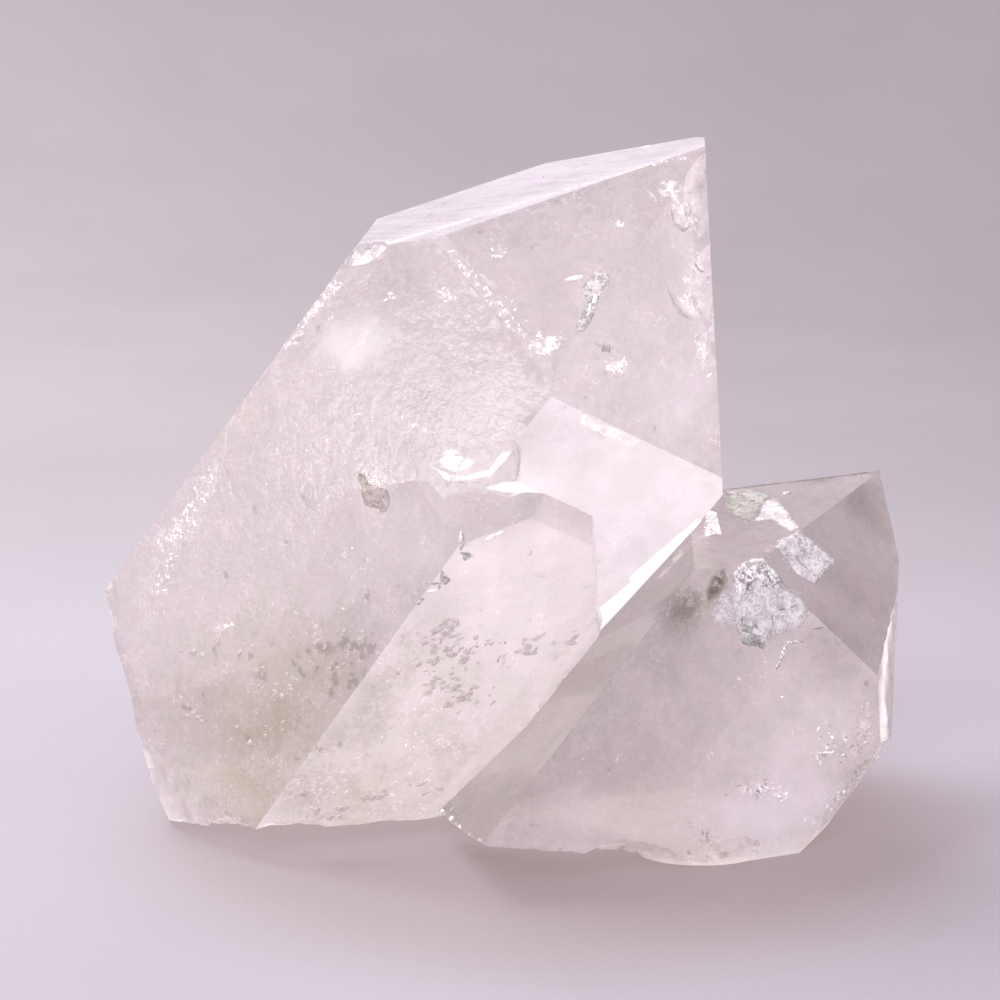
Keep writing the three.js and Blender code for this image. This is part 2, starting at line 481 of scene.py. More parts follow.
def slice_up(bm, cell):
    low = Vector([min(v.co[i] for v in bm.verts) for i in range(3)])
    high = Vector([max(v.co[i] for v in bm.verts) for i in range(3)])
    for i in range(3):
        across = Vector((0, 0, 0))
        across[i] = 1
        count = int((high[i] - low[i]) / cell)
        for cut in range(1, count + 1):
            at = across * (low[i] + (high[i] - low[i]) * cut / (count + 1))
            bmesh.ops.bisect_plane(bm, geom=bm.verts[:] + bm.edges[:] + bm.faces[:],
                                   dist=THIN, plane_co=at, plane_no=across)


slice_up(stone_bm, CELL)
fine = [edge for edge in stone_bm.edges if edge.calc_length() > CELL / 3
        and any(kinds[face[kind]].endswith(BROKEN) for face in edge.link_faces)]
bmesh.ops.subdivide_edges(stone_bm, edges=fine, cuts=1, use_grid_fill=True)
bmesh.ops.dissolve_degenerate(stone_bm, dist=THIN, edges=stone_bm.edges)
bmesh.ops.triangulate(stone_bm, faces=[f for f in stone_bm.faces if len(f.verts) > 4])
print("small faces:", len(stone_bm.faces))

# %% [markdown]
# Breaks are rough at every size, so they get a sum of noises. Growth faces only swell and dip by
# a few hundredths of a millimetre. Worn edges are nibbled here and there.

# %% Roughen
BREAK_DEPTH = 0.5
WAVE_DEPTH = 0.035
NIBBLE_DEPTH = 0.22
FOOT_HEIGHT = 0.8
REST_HEIGHT = 0.05


def roughness_at(point, name):
    """How far, in mm, a point of this kind of face lies inside the CAD surface."""
    if name.endswith(BROKEN):
        lumps = noise.fractal(point * 0.6, 0.75, 2.1, 5)
        return BREAK_DEPTH * min(1, max(0, 0.5 + 0.6 * lumps))
    if name == "edge":
        bites = noise.fractal(point * 1.5 + Vector((31, 7, 3)), 0.7, 2.2, 4)
        return NIBBLE_DEPTH * min(1, max(0, bites * 1.3 - 0.12))
    return WAVE_DEPTH * (0.5 + 0.5 * noise.noise(point * 0.22 + Vector((5, 9, 2))))


moves = []
for vert in stone_bm.verts:
    point = vert.co / MM
    names = {kinds[face[kind]] for face in vert.link_faces}
    if "edge" in names:
        depth = roughness_at(point, "edge")
    else:
        depth = min(roughness_at(point, name) for name in names)
    depth *= min(1, max(0, (point.z - REST_HEIGHT) / FOOT_HEIGHT))
    moves.append((vert, -vert.normal * depth * MM))
for vert, move in moves:
    vert.co += move
print("deepest dent in mm:", round(max(move.length for _, move in moves) / MM, 2))

# %% [markdown]
# Flat shading would show every small face, and smooth shading would round the corners off. So
# faces are smooth, and the edges between two kinds of face, or with a real corner, are sharp.

# %% Smooth and sharp
CORNER = 28
for face in stone_bm.faces:
    face.smooth = True
for edge in stone_bm.edges:
    if len(edge.link_faces) == 2:
        first, second = edge.link_faces
        edge.smooth = first[kind] == second[kind] and edge.calc_face_angle(0) < math.radians(CORNER)
print("triangles:", sum(len(f.verts) - 2 for f in stone_bm.faces))

# %% [markdown]
# ## Colour and milk, face by face
#
# Quartz has no colour of its own. What the eye sees is how milky it is, and what light comes
# through it. One colour for the whole stone would lose its faces, and a painted image isn't
# wanted, so each kind of face gets a tint and a share of milk, written on the corners of the
# mesh as attributes that the finish reads: crisp where faces meet, and soft inside them. The
# tints also hold painted light and shade, lighter on faces where light falls and darker on faces
# in shade, and a painted glow stands in for light that comes through the stone.

# %% Tints of the faces, with painted light and shade
# each tint is the stone's tone plus painted light and shade; glow is painted light
FACE_LOOKS = {
    "main": {"tint": (0.86, 0.785, 0.80), "milk": 0.74, "frost": 0.3, "soot": 0.05},
    "main tip_upper_left": {"tint": (0.90, 0.85, 0.94), "milk": 0.94, "glow": 0.06},
    "main tip_front_left": {"tint": (0.85, 0.775, 0.795), "milk": 0.75, "frost": 0.3},
    "main tip_front_right": {"tint": (0.79, 0.725, 0.745), "milk": 0.75, "frost": 0.25},
    "main side_front_right": {"tint": (1.0, 0.955, 0.975), "milk": 0.86, "glow": 0.02,
                              "frost": 0.2},
    "main side_front_left": {"tint": (0.85, 0.775, 0.79), "milk": 0.75, "frost": 0.35},
    "main pale_band": {"tint": (1.0, 0.98, 0.99), "milk": 0.95, "glow": 0.4},
    "main break": {"tint": (0.90, 0.83, 0.85), "milk": 0.8, "frost": 0.75},
    "main left_end": {"tint": (0.86, 0.785, 0.79), "milk": 0.78, "frost": 0.5},
    "main left_corner": {"tint": (0.98, 0.91, 0.92), "milk": 0.9, "frost": 0.35, "glow": 0.06},
    "main left_foot": {"tint": (0.92, 0.85, 0.86), "milk": 0.84, "frost": 0.4},
    "front": {"tint": (0.90, 0.83, 0.84), "milk": 0.74, "frost": 0.3},
    "front side_front_right": {"tint": (0.95, 0.87, 0.895), "milk": 0.80, "frost": 0.3,
                               "soot": 0.2},
    "front tip_front_left": {"tint": (0.95, 0.885, 0.895), "milk": 0.8, "frost": 0.2},
    "front tip_front_right": {"tint": (0.92, 0.85, 0.86), "milk": 0.78, "frost": 0.2},
    "rear": {"tint": (0.66, 0.60, 0.605), "milk": 0.58, "frost": 0.05},
    "rear tip_upper_left": {"tint": (0.66, 0.60, 0.60), "milk": 0.48, "frost": 0.05},
    "rear tip_front_left": {"tint": (0.55, 0.49, 0.485), "milk": 0.55, "frost": 0.0},
    "rear side_front_left": {"tint": (0.73, 0.665, 0.67), "milk": 0.64, "frost": 0.1},
    "rear contact": {"tint": (0.40, 0.36, 0.355), "milk": 0.68, "frost": 0.0},
    "rear break": {"tint": (0.78, 0.71, 0.71), "milk": 0.66, "frost": 0.6, "soot": 0.2},
    "edge": {"tint": (0.97, 0.93, 0.95), "milk": 0.85, "glow": 0.06, "frost": 0.6},
}


def look_of(name, what, otherwise):
    own = FACE_LOOKS.get(name, {})
    return own.get(what, FACE_LOOKS[name.split()[0]].get(what, otherwise))


def sort_by_place(elements, place_of):
    """Blender may number points and faces differently on each run, so their places decide."""
    in_order = sorted(elements, key=lambda each: tuple(round(c / MM, 3) for c in place_of(each)))
    for rank, element in enumerate(in_order):
        element.index = rank
    elements.sort()


sort_by_place(stone_bm.verts, lambda vert: vert.co)
sort_by_place(stone_bm.faces, lambda face: face.calc_center_median())
stone = add_piece("quartz_crystals", stone_bm)
mesh = stone.data
face_kinds = np.zeros(len(mesh.polygons), int)
mesh.attributes["kind"].data.foreach_get("value", face_kinds)
face_sizes = np.zeros(len(mesh.polygons), int)
mesh.polygons.foreach_get("loop_total", face_sizes)
corner_kinds = np.repeat(face_kinds, face_sizes)
corner_verts = np.zeros(len(mesh.loops), int)
mesh.loops.foreach_get("vertex_index", corner_verts)
vert_places = np.array([vert.co / MM for vert in mesh.vertices])


def by_corner(what, otherwise):
    return np.array([look_of(name, what, otherwise) for name in kinds], float)[corner_kinds]


tones_and_painted_light = by_corner("tint", None)
milks = by_corner("milk", None)
changing = {"milk": milks}
for what in ("glow", "frost", "soot"):
    changing[what] = by_corner(what, 0.0)
print("corners:", len(corner_kinds), "kinds of face:", len(kinds))

# %% [markdown]
# Inside a face the stone changes too: an olive shade by the front crystal's edge, a yellowish
# foot, clearer windows in the rear crystal. Each is a soft ball of colour and milk, and a little
# noise bends its outline. Many of them are painted light or shade: a lighter tint and a painted
# glow where light falls or shines through, a darker tint where shade falls.

# %% Soft zones
BEND = 1.6
BEND_SCALE = 0.25
BEND_SEED = 171
# without a seed, Blender shifts this noise by the clock, so that each run bends it differently
noise.seed_set(BEND_SEED)
bent_places = vert_places + BEND * np.array(
    [noise.noise_vector(Vector(place) * BEND_SCALE) for place in vert_places])


def zone(where, at, reach, to=None, tint=1, **changes):
    """Changes the kinds of face whose names start with where, near a point or a line."""
    wanted = np.array([name.startswith(where) for name in kinds])[corner_kinds]
    start = np.array(at)
    reach_on = np.array(to or at) - start
    along = np.clip((bent_places - start) @ reach_on / max(reach_on @ reach_on, 1), 0, 1)
    nearest = start + along[:, None] * reach_on
    away = np.linalg.norm(bent_places - nearest, axis=1)[corner_verts]
    near = np.clip(1 - away / reach, 0, 1)
    near = np.where(wanted, near * near * (3 - 2 * near), 0)
    tones_and_painted_light[:] *= 1 + (np.broadcast_to(tint, 3) - 1) * near[:, None]
    for what, change in changes.items():
        changing[what] += change * near


# %% Zones of the main crystal
# the olive shade beside the front crystal's edge
zone("main", (-26, -13, 14), 19, tint=(0.965, 0.955, 0.9))
zone("main", (-16, -20, 20.5), 8, tint=(0.8, 0.785, 0.72), soot=0.5)
zone("main", (-21, -17, 15), 9, tint=(0.8, 0.785, 0.7))
zone("main", (-24, -15, 7), 12, tint=(0.74, 0.73, 0.625), milk=0.12)
zone("main", (-20, -17, 20), 14, tint=(0.98, 0.985, 0.93))
zone("main", (-29, -13, 15), 6, tint=(0.89, 0.88, 0.84))
zone("main", (-24.8, -13.5, 19.7), 5, soot=0.75)
zone("main", (-19.6, -16.8, 21.6), 5, soot=0.8)
zone("main", (-14.5, -20.5, 22), 4, soot=0.8)
zone("main", (-32.3, -10, 15), 4, soot=0.8)
zone("main", (-34, -8, 14), 9, tint=(0.92, 0.9, 0.86))
zone("main", (-29.6, -10.4, 19.9), 3, frost=0.5, soot=0.5)
# swarms of small cracks along the left edge, the upper one with a faint painted glow
zone("main", (-29.5, -6.4, 38), 3.6, to=(-34.4, -4.6, 29.5), glow=0.04, frost=0.75)
zone("main", (-35, -4.5, 28), 3.6, to=(-37, -4.2, 23), frost=0.6)
zone("main", (-20, -8, 51), 3.5, frost=0.6)
zone("main", (-26, -6.5, 43), 4, tint=(1.03, 1, 0.93), frost=0.3)
zone("main break", (-16.5, -7.5, 58.6), 3.5, to=(-11.5, -11, 60.4), tint=0.82, frost=0.25,
     soot=0.8)
# the top face darkened and its painted glow lowered
zone("main tip_upper_left", (-10, -5, 62), 13, tint=0.9, glow=-0.1)
# a painted gleam high on the big face (a lighter tint and a painted glow), and the pale band
# down to the ridge
zone("main", (-16.6, -11.4, 51), 4, to=(-13.6, -13.1, 52.2), tint=(1.14, 1.16, 1.15), glow=0.4)
zone("main", (-20.7, -8.8, 51), 3.2, tint=0.9)
zone("main", (-16.6, -10.4, 55.8), 4, tint=0.92)
zone("main side_front_left", (-12, -13, 54), 6, to=(-4, -18, 53), tint=(0.97, 0.985, 0.965))
zone("main", (-19, -9.5, 48), 8, tint=(1.03, 1.04, 1.04))
zone("main side_front_left", (-4, -17, 55), 3, glow=0.05, frost=0.5)
zone("main side_front_left", (1, -22.5, 48), 5, to=(-2, -23, 43), tint=(1.08, 1.09, 1.1),
     glow=0.03, frost=0.2)
zone("main side_front_right", (0, -24, 43.5), 11, tint=(0.84, 0.84, 0.85))
zone("main side_front_right", (6, -22.3, 45), 5, tint=0.93)
zone("main side_front_right", (2, -20, 38), 6, tint=(1.08, 1.08, 1.1), glow=0.1)
zone("main tip_front_right", (13, -14, 62), 10, tint=0.91)
zone("main tip_front_right", (16.5, -16, 45.5), 9, tint=(1.1, 1.1, 1.12), glow=0.12)
zone("main side_front_right", (18, -14, 38), 8, glow=0.06)
zone("main side_front_right", (12, -15, 33), 10, tint=(0.98, 0.99, 1.03))
zone("main", (-24, -15, 14), 18, tint=(1.005, 1, 0.925))
zone("main side_front_left", (-9, -20.5, 33), 7, tint=(1.08, 1.08, 1.06))
zone("main tip_front_left", (-3, -12.5, 62.5), 7, to=(8, -12, 66), tint=(0.82, 0.82, 0.815),
     milk=0.12)
zone("main side_front_left", (-11, -12.5, 59), 6, tint=(0.85, 0.855, 0.85), milk=0.1)
zone("main tip_upper_left", (3, -8, 65.5), 8, tint=(0.94, 0.94, 0.95))
zone("main side_front_left", (-8, -19, 42), 9, tint=(0.87, 0.87, 0.865))
# edges: painted highlights along the ragged one under the tip's top face and on one lower down,
# and a darker one behind the rear tip
zone("edge", (-13, -11.5, 60.7), 2, to=(18, -9.5, 69.9), glow=0.4)
zone("main tip_upper_left", (-13, -11.2, 60.7), 1.6, to=(18, -9.2, 69.9), glow=0.15, frost=0.9)
zone("edge", (21, 10, 31.8), 2.5, to=(41, 18.5, 32.4), tint=(0.42, 0.4, 0.4), glow=-0.06)
zone("edge", (41, 18.5, 32.4), 2.5, to=(41, 6, 22), tint=(0.55, 0.53, 0.53), glow=-0.06)
zone("edge", (-2.3, -20.1, 39.6), 1.5, to=(1.6, -23.3, 45.7), glow=0.3)
zone("main", (19.2, -8.9, 68.6), 1.6, to=(19.4, -9.4, 65.5), tint=(0.7, 0.65, 0.64))
# chips down the right edge of the tip, lightened with a faint painted glow
zone("main", (16.8, -10.6, 65), 3, to=(19.6, -12.3, 50.5), tint=(1.08, 1.09, 1.09), glow=0.04,
     frost=0.7)
zone("main", (18.5, -11.7, 55.5), 3.5, glow=0.1, frost=0.2)
# clear windows in front of what is sealed inside, the first also lit by a painted glow
zone("", (-1, -21.6, 39.8), 4, tint=(1.12, 1.13, 1.13), glow=0.06)
zone("main", (-12.8, -16, 37.5), 3.6, milk=-0.6)
zone("main", (7.5, -18.8, 56.5), 4, milk=-0.55)
zone("", (-6.8, -22.4, 30.4), 2.6, milk=-0.5)
zone("", (-4.6, -23, 34.2), 1.8, milk=-0.5)

# %% Zones of the front crystal
# greenish beside its edge, grey scraps across it, a yellowish foot
zone("main", (-9, -20.5, 35), 7, tint=(1.06, 1.09, 1.05))
zone("front", (-8.6, -22, 26), 5.5, to=(-21.5, -18, 7), tint=(0.77, 0.775, 0.74))
zone("front", (-9, -20.5, 22.5), 4, to=(-15, -18.5, 14), tint=(0.86, 0.86, 0.83))
zone("front", (-14, -15, 6), 14, tint=(0.78, 0.77, 0.69))
zone("front", (-5, -18, 17), 9, tint=(0.9, 0.9, 0.875))
zone("front", (1, -13, 11), 6, tint=(0.88, 0.85, 0.8))
zone("front", (-4.9, -14, 11.6), 5, tint=(0.87, 0.86, 0.85))
zone("front", (-20.7, -18.5, 8.8), 5, tint=(0.84, 0.83, 0.8))
zone("main", (-33.5, -10.4, 6.2), 5, tint=(0.9, 0.885, 0.86))
zone("front", (-5.5, -18.8, 22), 5.5, soot=0.7)
zone("front", (1, -17, 22.5), 5, soot=0.6)
zone("front", (-7, -17, 16.5), 4, frost=0.3, soot=0.5)
zone("front", (-7, -14.5, 11.5), 4.5, frost=0.6)

# %% Zones of the rear crystal
# a milkier patch with a painted glow low down, a painted bright strip on the right break, lighter
# patches with painted glow at the foot, clear windows high up, a speckled right foot
zone("rear", (28.6, -12.3, 11), 9, to=(31, -11, 13), tint=(1.12, 1.13, 1.14), milk=0.22, glow=0.13)
zone("rear break", (39.6, 0, 19), 3, to=(38.3, -7, 10.5), tint=(1.6, 1.64, 1.7), milk=0.6,
     glow=0.9)
zone("rear side_front_left", (14.8, -15, 24.2), 7, to=(-1, -22.5, 8), tint=0.78)
zone("rear", (28, -13, 4), 13, tint=(0.985, 1, 1.045))
zone("rear side_front_left", (25, -14, 6), 6, to=(35.7, -9.4, 10.2), tint=(1.16, 1.16, 1.17),
     milk=0.1)
zone("rear tip_upper_left", (25, 4, 30.8), 7, to=(32, 5, 30.8), tint=0.84)
zone("rear", (6, -22, 5), 9, tint=(1.15, 1.16, 1.18), milk=0.1)
zone("rear", (19, -17, 7), 9, tint=(1.12, 1.13, 1.17), milk=0.05)
zone("rear", (22, -16.5, 4), 5, to=(31, -12.5, 3.5), tint=(1.2, 1.22, 1.3), milk=0.1, glow=0.1)
zone("rear", (10, -21, 5), 6, tint=(0.98, 0.985, 1))
zone("rear", (14.8, -16, 20.4), 3.5, tint=0.84, milk=0.05)
zone("rear tip_upper_left", (33.5, 9.5, 31.2), 6, tint=(0.8, 0.79, 0.79), milk=0.12)
zone("rear", (29, -7, 26), 5, to=(36.2, -2.8, 21), tint=1.2, milk=0.14, glow=0.05)
zone("rear", (23, -13.5, 13), 8, glow=0.05)
zone("rear", (19, -18.5, 2.2), 4, frost=0.7, soot=0.9)
zone("rear", (35.7, -8.3, 14), 5, tint=1.15)
zone("rear", (31.5, -9, 18.5), 6, tint=(0.87, 0.87, 0.86))
zone("rear", (19.5, -4, 29.8), 3.5, tint=1.3, frost=0.5)
zone("rear", (27, -5, 27), 7, milk=-0.4)
zone("rear", (26, -9.5, 24.5), 5, milk=-0.35)
zone("rear", (20.4, -11.3, 27), 3.2, to=(17.3, -13.6, 24.5), tint=(0.66, 0.67, 0.56), milk=0.3)
zone("rear tip_upper_left", (23.5, 11.6, 32.1), 1.6, to=(40, 18.6, 32.4), tint=(0.5, 0.48, 0.48),
     milk=0.3)
zone("rear", (31, -9.4, 18.1), 7, milk=0.4)
zone("rear", (35.5, -2.4, 22.5), 7, tint=1.12, milk=0.4)
zone("rear tip_front_left", (38, 11.6, 30.1), 6, tint=(0.8, 0.76, 0.73), milk=0.35)
zone("rear side_front_left", (28, -9.6, 21), 9, tint=(1.14, 1.14, 1.15), milk=0.15)
zone("edge", (16.5, -13.9, 25.6), 2.5, to=(-2.9, -23.8, 5.5), tint=(0.55, 0.52, 0.52), glow=-0.06,
     frost=-0.6)
zone("front side_front_right", (-1, -15, 17), 12, tint=(0.97, 0.985, 0.97))
zone("front side_front_right", (-10, -17, 9), 13, tint=(0.9, 0.9, 0.85))
zone("front side_front_right", (-12, -19, 18), 8, tint=(0.92, 0.925, 0.89))
zone("rear", (26, 6, 30.5), 7, milk=-0.4)
zone("rear", (34, -9, 10.5), 5, frost=0.75, soot=0.8)
zone("rear", (25, -14, 6.4), 4, frost=0.6, soot=0.7)
zone("rear", (33, -11, 4), 4, frost=0.7, soot=0.4)

# %% The foot's painted glow, and the attributes that the finish reads
# the lowest rim of the stone is painted lighter and yellower, with a painted glow
FOOT_RIM = 1.8
FOOT_PAINTED_GLOW = 0.35
FOOT_TINT = (1.12, 1.12, 1.06)
foot = np.clip(1 - vert_places[:, 2] / FOOT_RIM, 0, 1)[corner_verts]
changing["glow"] += FOOT_PAINTED_GLOW * foot
tones_and_painted_light *= 1 + (np.array(FOOT_TINT) - 1) * foot[:, None]


def write_corners(name, values):
    if values.ndim == 2:
        values = np.hstack([values, np.ones((len(values), 1))])
        mesh.attributes.new(name, "FLOAT_COLOR", "CORNER").data.foreach_set("color", values.ravel())
    else:
        mesh.attributes.new(name, "FLOAT", "CORNER").data.foreach_set("value", values)


write_corners("tint", np.clip(tones_and_painted_light, 0, 1))
for what, values in changing.items():
    write_corners(what, np.clip(values, 0, 1))
CALM = {"rear contact": 0.15, "rear tip_upper_left": 0.4, "rear tip_front_left": 0.4,
        "rear side_front_left": 0.6, "main side_front_right": 0.7}
write_corners("grainy", np.array([CALM.get(name, 1.0) for name in kinds])[corner_kinds])
write_corners("rough", np.array([float(name.endswith(BROKEN)) for name in kinds])[corner_kinds])
write_corners("striped", np.array([float(name == "main tip_upper_left")
                                   for name in kinds])[corner_kinds])
print("milk runs from", round(milks.min(), 2), "to", round(milks.max(), 2))

# %% [markdown]
# ## The finish of quartz
#
# Pure glass shows the room upside down in every face, which no milky crystal does. Real quartz
# is part clear and part cloudy, so the surface is a mix of a clear glass and a soft milky body,
# with clouds that decide how much of each. Shadow rays and soft bounces go straight through, so
# that what is sealed inside is lit and the shadow on the paper stays light.

# %% Quartz finish
QUARTZ_IOR = 1.544
THROUGH_GLOW = 0.5
STRIPE_ACROSS = (0.62, 0.72, 0.26)
STRIPE_ALONG = (0.74, -0.66, 0.13)


def stretched(shader, place, across, along, fine, coarse):
    """Noise drawn out into streaks: fine across them and coarse along them."""
    parts = {}
    for axis, (way, scale) in enumerate([(across, fine), (along, coarse)]):
        dot = shader.node("VectorMath", {"operation": "DOT_PRODUCT"}, {0: place, 1: way})
        parts[axis] = dot.wire("Value") * scale
    return shader.grain(shader.node("CombineXYZ", {}, parts).wire("Vector"), 1, detail=1)


def quartz_finish():
    shader = Shader("quartz")
    place = shader.place()
    tint = shader.attribute("tint", "Color")
    milk, rough = shader.attribute("milk"), shader.attribute("rough")
    glow, striped = shader.attribute("glow"), shader.attribute("striped")
    frost, soot = shader.attribute("frost"), shader.attribute("soot")
    grainy = shader.attribute("grainy")
    clouds = shader.grain(place, 0.12, detail=2, roughness=0.65)
    wisps = shader.grain(place, 0.6, detail=4, roughness=0.65)
    grit = shader.grain(place, 2.2, detail=2, roughness=0.65)
    hue = shader.grain(place, 0.26, detail=2, roughness=0.6)
    stripes = stretched(shader, place, STRIPE_ACROSS, STRIPE_ALONG, 1.2, 0.1)
    thread = (1 - (wisps - 0.5).size() * 60).clamped()
    clump = hue.between(0.61 - frost * 0.2, 0.65 - frost * 0.2)
    dashes = thread * clump * grit.between(0.56 - frost * 0.1, 0.60 - frost * 0.1)
    specks = grit.between(0.86 - frost * 0.2, 0.88 - frost * 0.2)
    flecks_and_painted_sparkle = (dashes + specks).clamped()
    scraps = (1 - wisps).between(0.68 - soot * 0.14, 0.71 - soot * 0.14)
    swells = shader.grain(place, 0.6, detail=1, roughness=0.65)
    relief = (swells + grit * 0.55) * grainy
    bump = shader.node("Bump", {}, {"Strength": 0.5, "Distance": 0.09 * MM, "Height": relief})
    normal = bump.wire("Normal")
    tint = shader.multiplied(tint, shader.mixed(hue.between(0.38, 0.62), colour(0.945, 0.97, 0.94),
                                                colour(1.04, 1.01, 1.035)))
    pale = shader.mixed(0.45, tint, colour(1.0, 0.95, 0.97))
    patchy = (clouds * 0.35 + wisps * 0.35 + grit * 0.3 - 0.5) * grainy + 0.5
    mottled = shader.mixed(patchy.between(0.43, 0.59), tint, pale)
    lined = shader.mixed(stripes.between(0.42, 0.58) * striped * 0.6, mottled,
                         colour(1, 0.98, 1.0))
    frosted = shader.mixed(flecks_and_painted_sparkle * 0.85, lined, colour(1, 1, 1))
    body_colour = shader.mixed(scraps * 0.38, frosted, colour(0.36, 0.32, 0.32))
    clear = shader.node("BsdfPrincipled", {}, {
        "Base Color": colour(0.97, 0.945, 0.95), "Roughness": rough * 0.25 + 0.03,
        "Transmission Weight": 1.0, "IOR": QUARTZ_IOR, "Normal": normal})
    # the body's emission is painted light: glow, and a painted sparkle on each fleck
    body = shader.node("BsdfPrincipled", {}, {
        "Base Color": body_colour, "Roughness": rough * 0.25 + 0.16, "IOR": QUARTZ_IOR,
        "Normal": normal, "Emission Strength": 1.0,
        "Emission Color": shader.mixed(glow + flecks_and_painted_sparkle * 0.28, colour(0, 0, 0),
                                       colour(1, 0.98, 0.985))})
    behind = shader.node("BsdfTranslucent", {}, {"Color": body_colour, "Normal": normal})
    body_mix = shader.blended(THROUGH_GLOW, body.wire("BSDF"), behind.wire("BSDF"))
    share = (milk + (clouds - 0.5) * 0.5 + (wisps - 0.5) * 0.3 + flecks_and_painted_sparkle * 0.5 + scraps * 0.3
             + glow).clamped()
    stone_mix = shader.blended(share, clear.wire("BSDF"), body_mix)
    through = shader.node("BsdfTransparent", {}, {"Color": colour(0.85, 0.82, 0.815)}).wire("BSDF")
    ray = shader.node("LightPath", {}, {})
    lit = shader.blended(ray.wire("Is Shadow Ray"), stone_mix, through)
    return shader.finish(shader.blended(ray.wire("Is Diffuse Ray"), lit, through))


stone.data.materials.clear()
stone.data.materials.append(quartz_finish())
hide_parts("quartz_cluster")
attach(stone, "root")

# %% [markdown]
# ## What is sealed in the stone
#
# Healed cracks show as frosted or tinted sheets just under the surface. Each could be cut from a
# grid, but their outlines are few-cornered, so one face from a few corner points, cut up, laid
# along the surface and made ragged, gives the shape in a few steps. A Solidify modifier gives it
# a skin. Deep sheets would be smeared by the milk above them, so each one lies a hair proud.

# %% A crack sheet
stone_surface = BVHTree.FromPolygons([v.co for v in mesh.vertices],
                                     [tuple(p.vertices) for p in mesh.polygons])
SHEET_THICK = 0.04 * MM
SHEET_CUTS = 11
STROKE_CUTS = 4
PROUD_SHEET = 0.015
DROP = 2.5 * MM


def way_out(point):
    return stone_surface.find_nearest(point)[1]


def laid_on_stone(point, out):
    """Drops a point on the stone, straight against the way out of it."""
    place, normal, _, _ = stone_surface.ray_cast(point + out * DROP, -out, 2 * DROP)
    if place is None or normal.dot(out) < 0:
        place, normal, _, _ = stone_surface.find_nearest(point)
    return place + normal * PROUD_SHEET * MM


def sheet_piece(name, bm, finish):
    for face in bm.faces:
        face.smooth = True
    piece = add_piece(name, bm)
    skin = piece.modifiers.new("skin", "SOLIDIFY")
    skin.thickness, skin.offset = SHEET_THICK, 0
    piece.data.materials.append(finish)
    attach(piece, "root")


def crack_sheet(name, finish, corners, ragged=0.3, soft_rim=0.06, seed=0):
    bm = bmesh.new()
    bm.faces.new([bm.verts.new(Vector(corner) * MM) for corner in corners])
    bmesh.ops.triangulate(bm, faces=bm.faces[:])
    bmesh.ops.subdivide_edges(bm, edges=bm.edges[:], cuts=SHEET_CUTS, use_grid_fill=True)
    bmesh.ops.triangulate(bm, faces=bm.faces[:])
    fade = bm.verts.layers.float.new("fade")
    middle = sum((v.co for v in bm.verts), Vector()) / len(bm.verts)
    rim = [v.co.copy() for v in bm.verts if v.is_boundary]
    widest = max((v.co - middle).length for v in bm.verts)
    shift = Vector((seed, 2 * seed, 3 * seed))
    for vert in bm.verts:
        inland = min((vert.co - edge).length for edge in rim)
        vert[fade] = min(1, inland / (soft_rim * widest))
    out = sum((way_out(Vector(corner) * MM) for corner in corners), Vector()).normalized()
    for vert in bm.verts:
        if vert.is_boundary:
            pull = ragged * abs(noise.fractal(vert.co / MM * 1.3 + shift, 0.8, 2, 3)) * MM
            vert.co += (middle - vert.co).normalized() * pull
        vert.co = laid_on_stone(vert.co, out)
    sheet_piece(name, bm, finish)


def strokes(name, finish, lines):
    """Thin slivers: each runs through its points and is widest halfway."""
    bm = bmesh.new()
    fade = bm.verts.layers.float.new("fade")
    for *points, width in lines:
        points = [Vector(point) * MM for point in points]
        legs = list(zip(points, points[1:]))
        stations = [first.lerp(last, step / STROKE_CUTS)
                    for first, last in legs for step in range(STROKE_CUTS)] + points[-1:]
        out = sum((way_out(point) for point in points), Vector()).normalized()
        pair = None
        for at, station in enumerate(stations):
            leg = legs[min(at // STROKE_CUTS, len(legs) - 1)]
            wide = 0.2 + 0.8 * math.sin(math.pi * at / (len(stations) - 1))
            side = (leg[1] - leg[0]).cross(out).normalized() * width * wide / 2 * MM
            new_pair = [bm.verts.new(laid_on_stone(station + way, out)) for way in (-side, side)]
            if pair:
                bm.faces.new([pair[0], new_pair[0], new_pair[1], pair[1]])
            pair = new_pair
    bmesh.ops.recalc_face_normals(bm, faces=bm.faces)
    for vert in bm.verts:
        vert[fade] = 1
    sheet_piece(name, bm, finish)


# %% [markdown]
# One finish serves every sheet, with its own two colours. It is patchy, so that the clear stone
# shows through its holes, and it fades out at the rim. Fine creases make it look crumpled.

# %% Crack finishes
# a sheet's glow is painted light: its emission stands in for the light that would reach it, and
# deep_painted_glow lets its deep colour glow too
def crack_finish(name, deep, pale, cover, crumple, glow=0.0, veined=0.065, deep_painted_glow=0.0):
    shader = Shader(name)
    place = shader.place()
    patches = shader.grain(place, 0.7, detail=4, roughness=0.65)
    creases = shader.grain(place, 1.9, detail=3, roughness=0.7, distortion=1.5)
    pick = (patches * 0.4 + creases * 0.6).between(0.505 - veined, 0.505 + veined)
    bump = shader.node("Bump", {}, {"Strength": crumple, "Distance": 0.2 * MM, "Height": creases})
    fade = shader.attribute("fade")
    surface = shader.node("BsdfPrincipled", {}, {
        "Base Color": shader.mixed(pick, colour(*deep), colour(*pale)), "Roughness": 0.35,
        "Normal": bump.wire("Normal"),
        "Emission Color": shader.mixed(pick, colour(*[c * deep_painted_glow for c in deep]), colour(*pale)),
        "Emission Strength": glow,
        "Alpha": (fade * (patches * 0.6 + creases * 0.4).between(
            0.52 - cover * 0.2, 0.60 - cover * 0.2)).clamped()})
    return shader.finish(surface.wire("BSDF"))


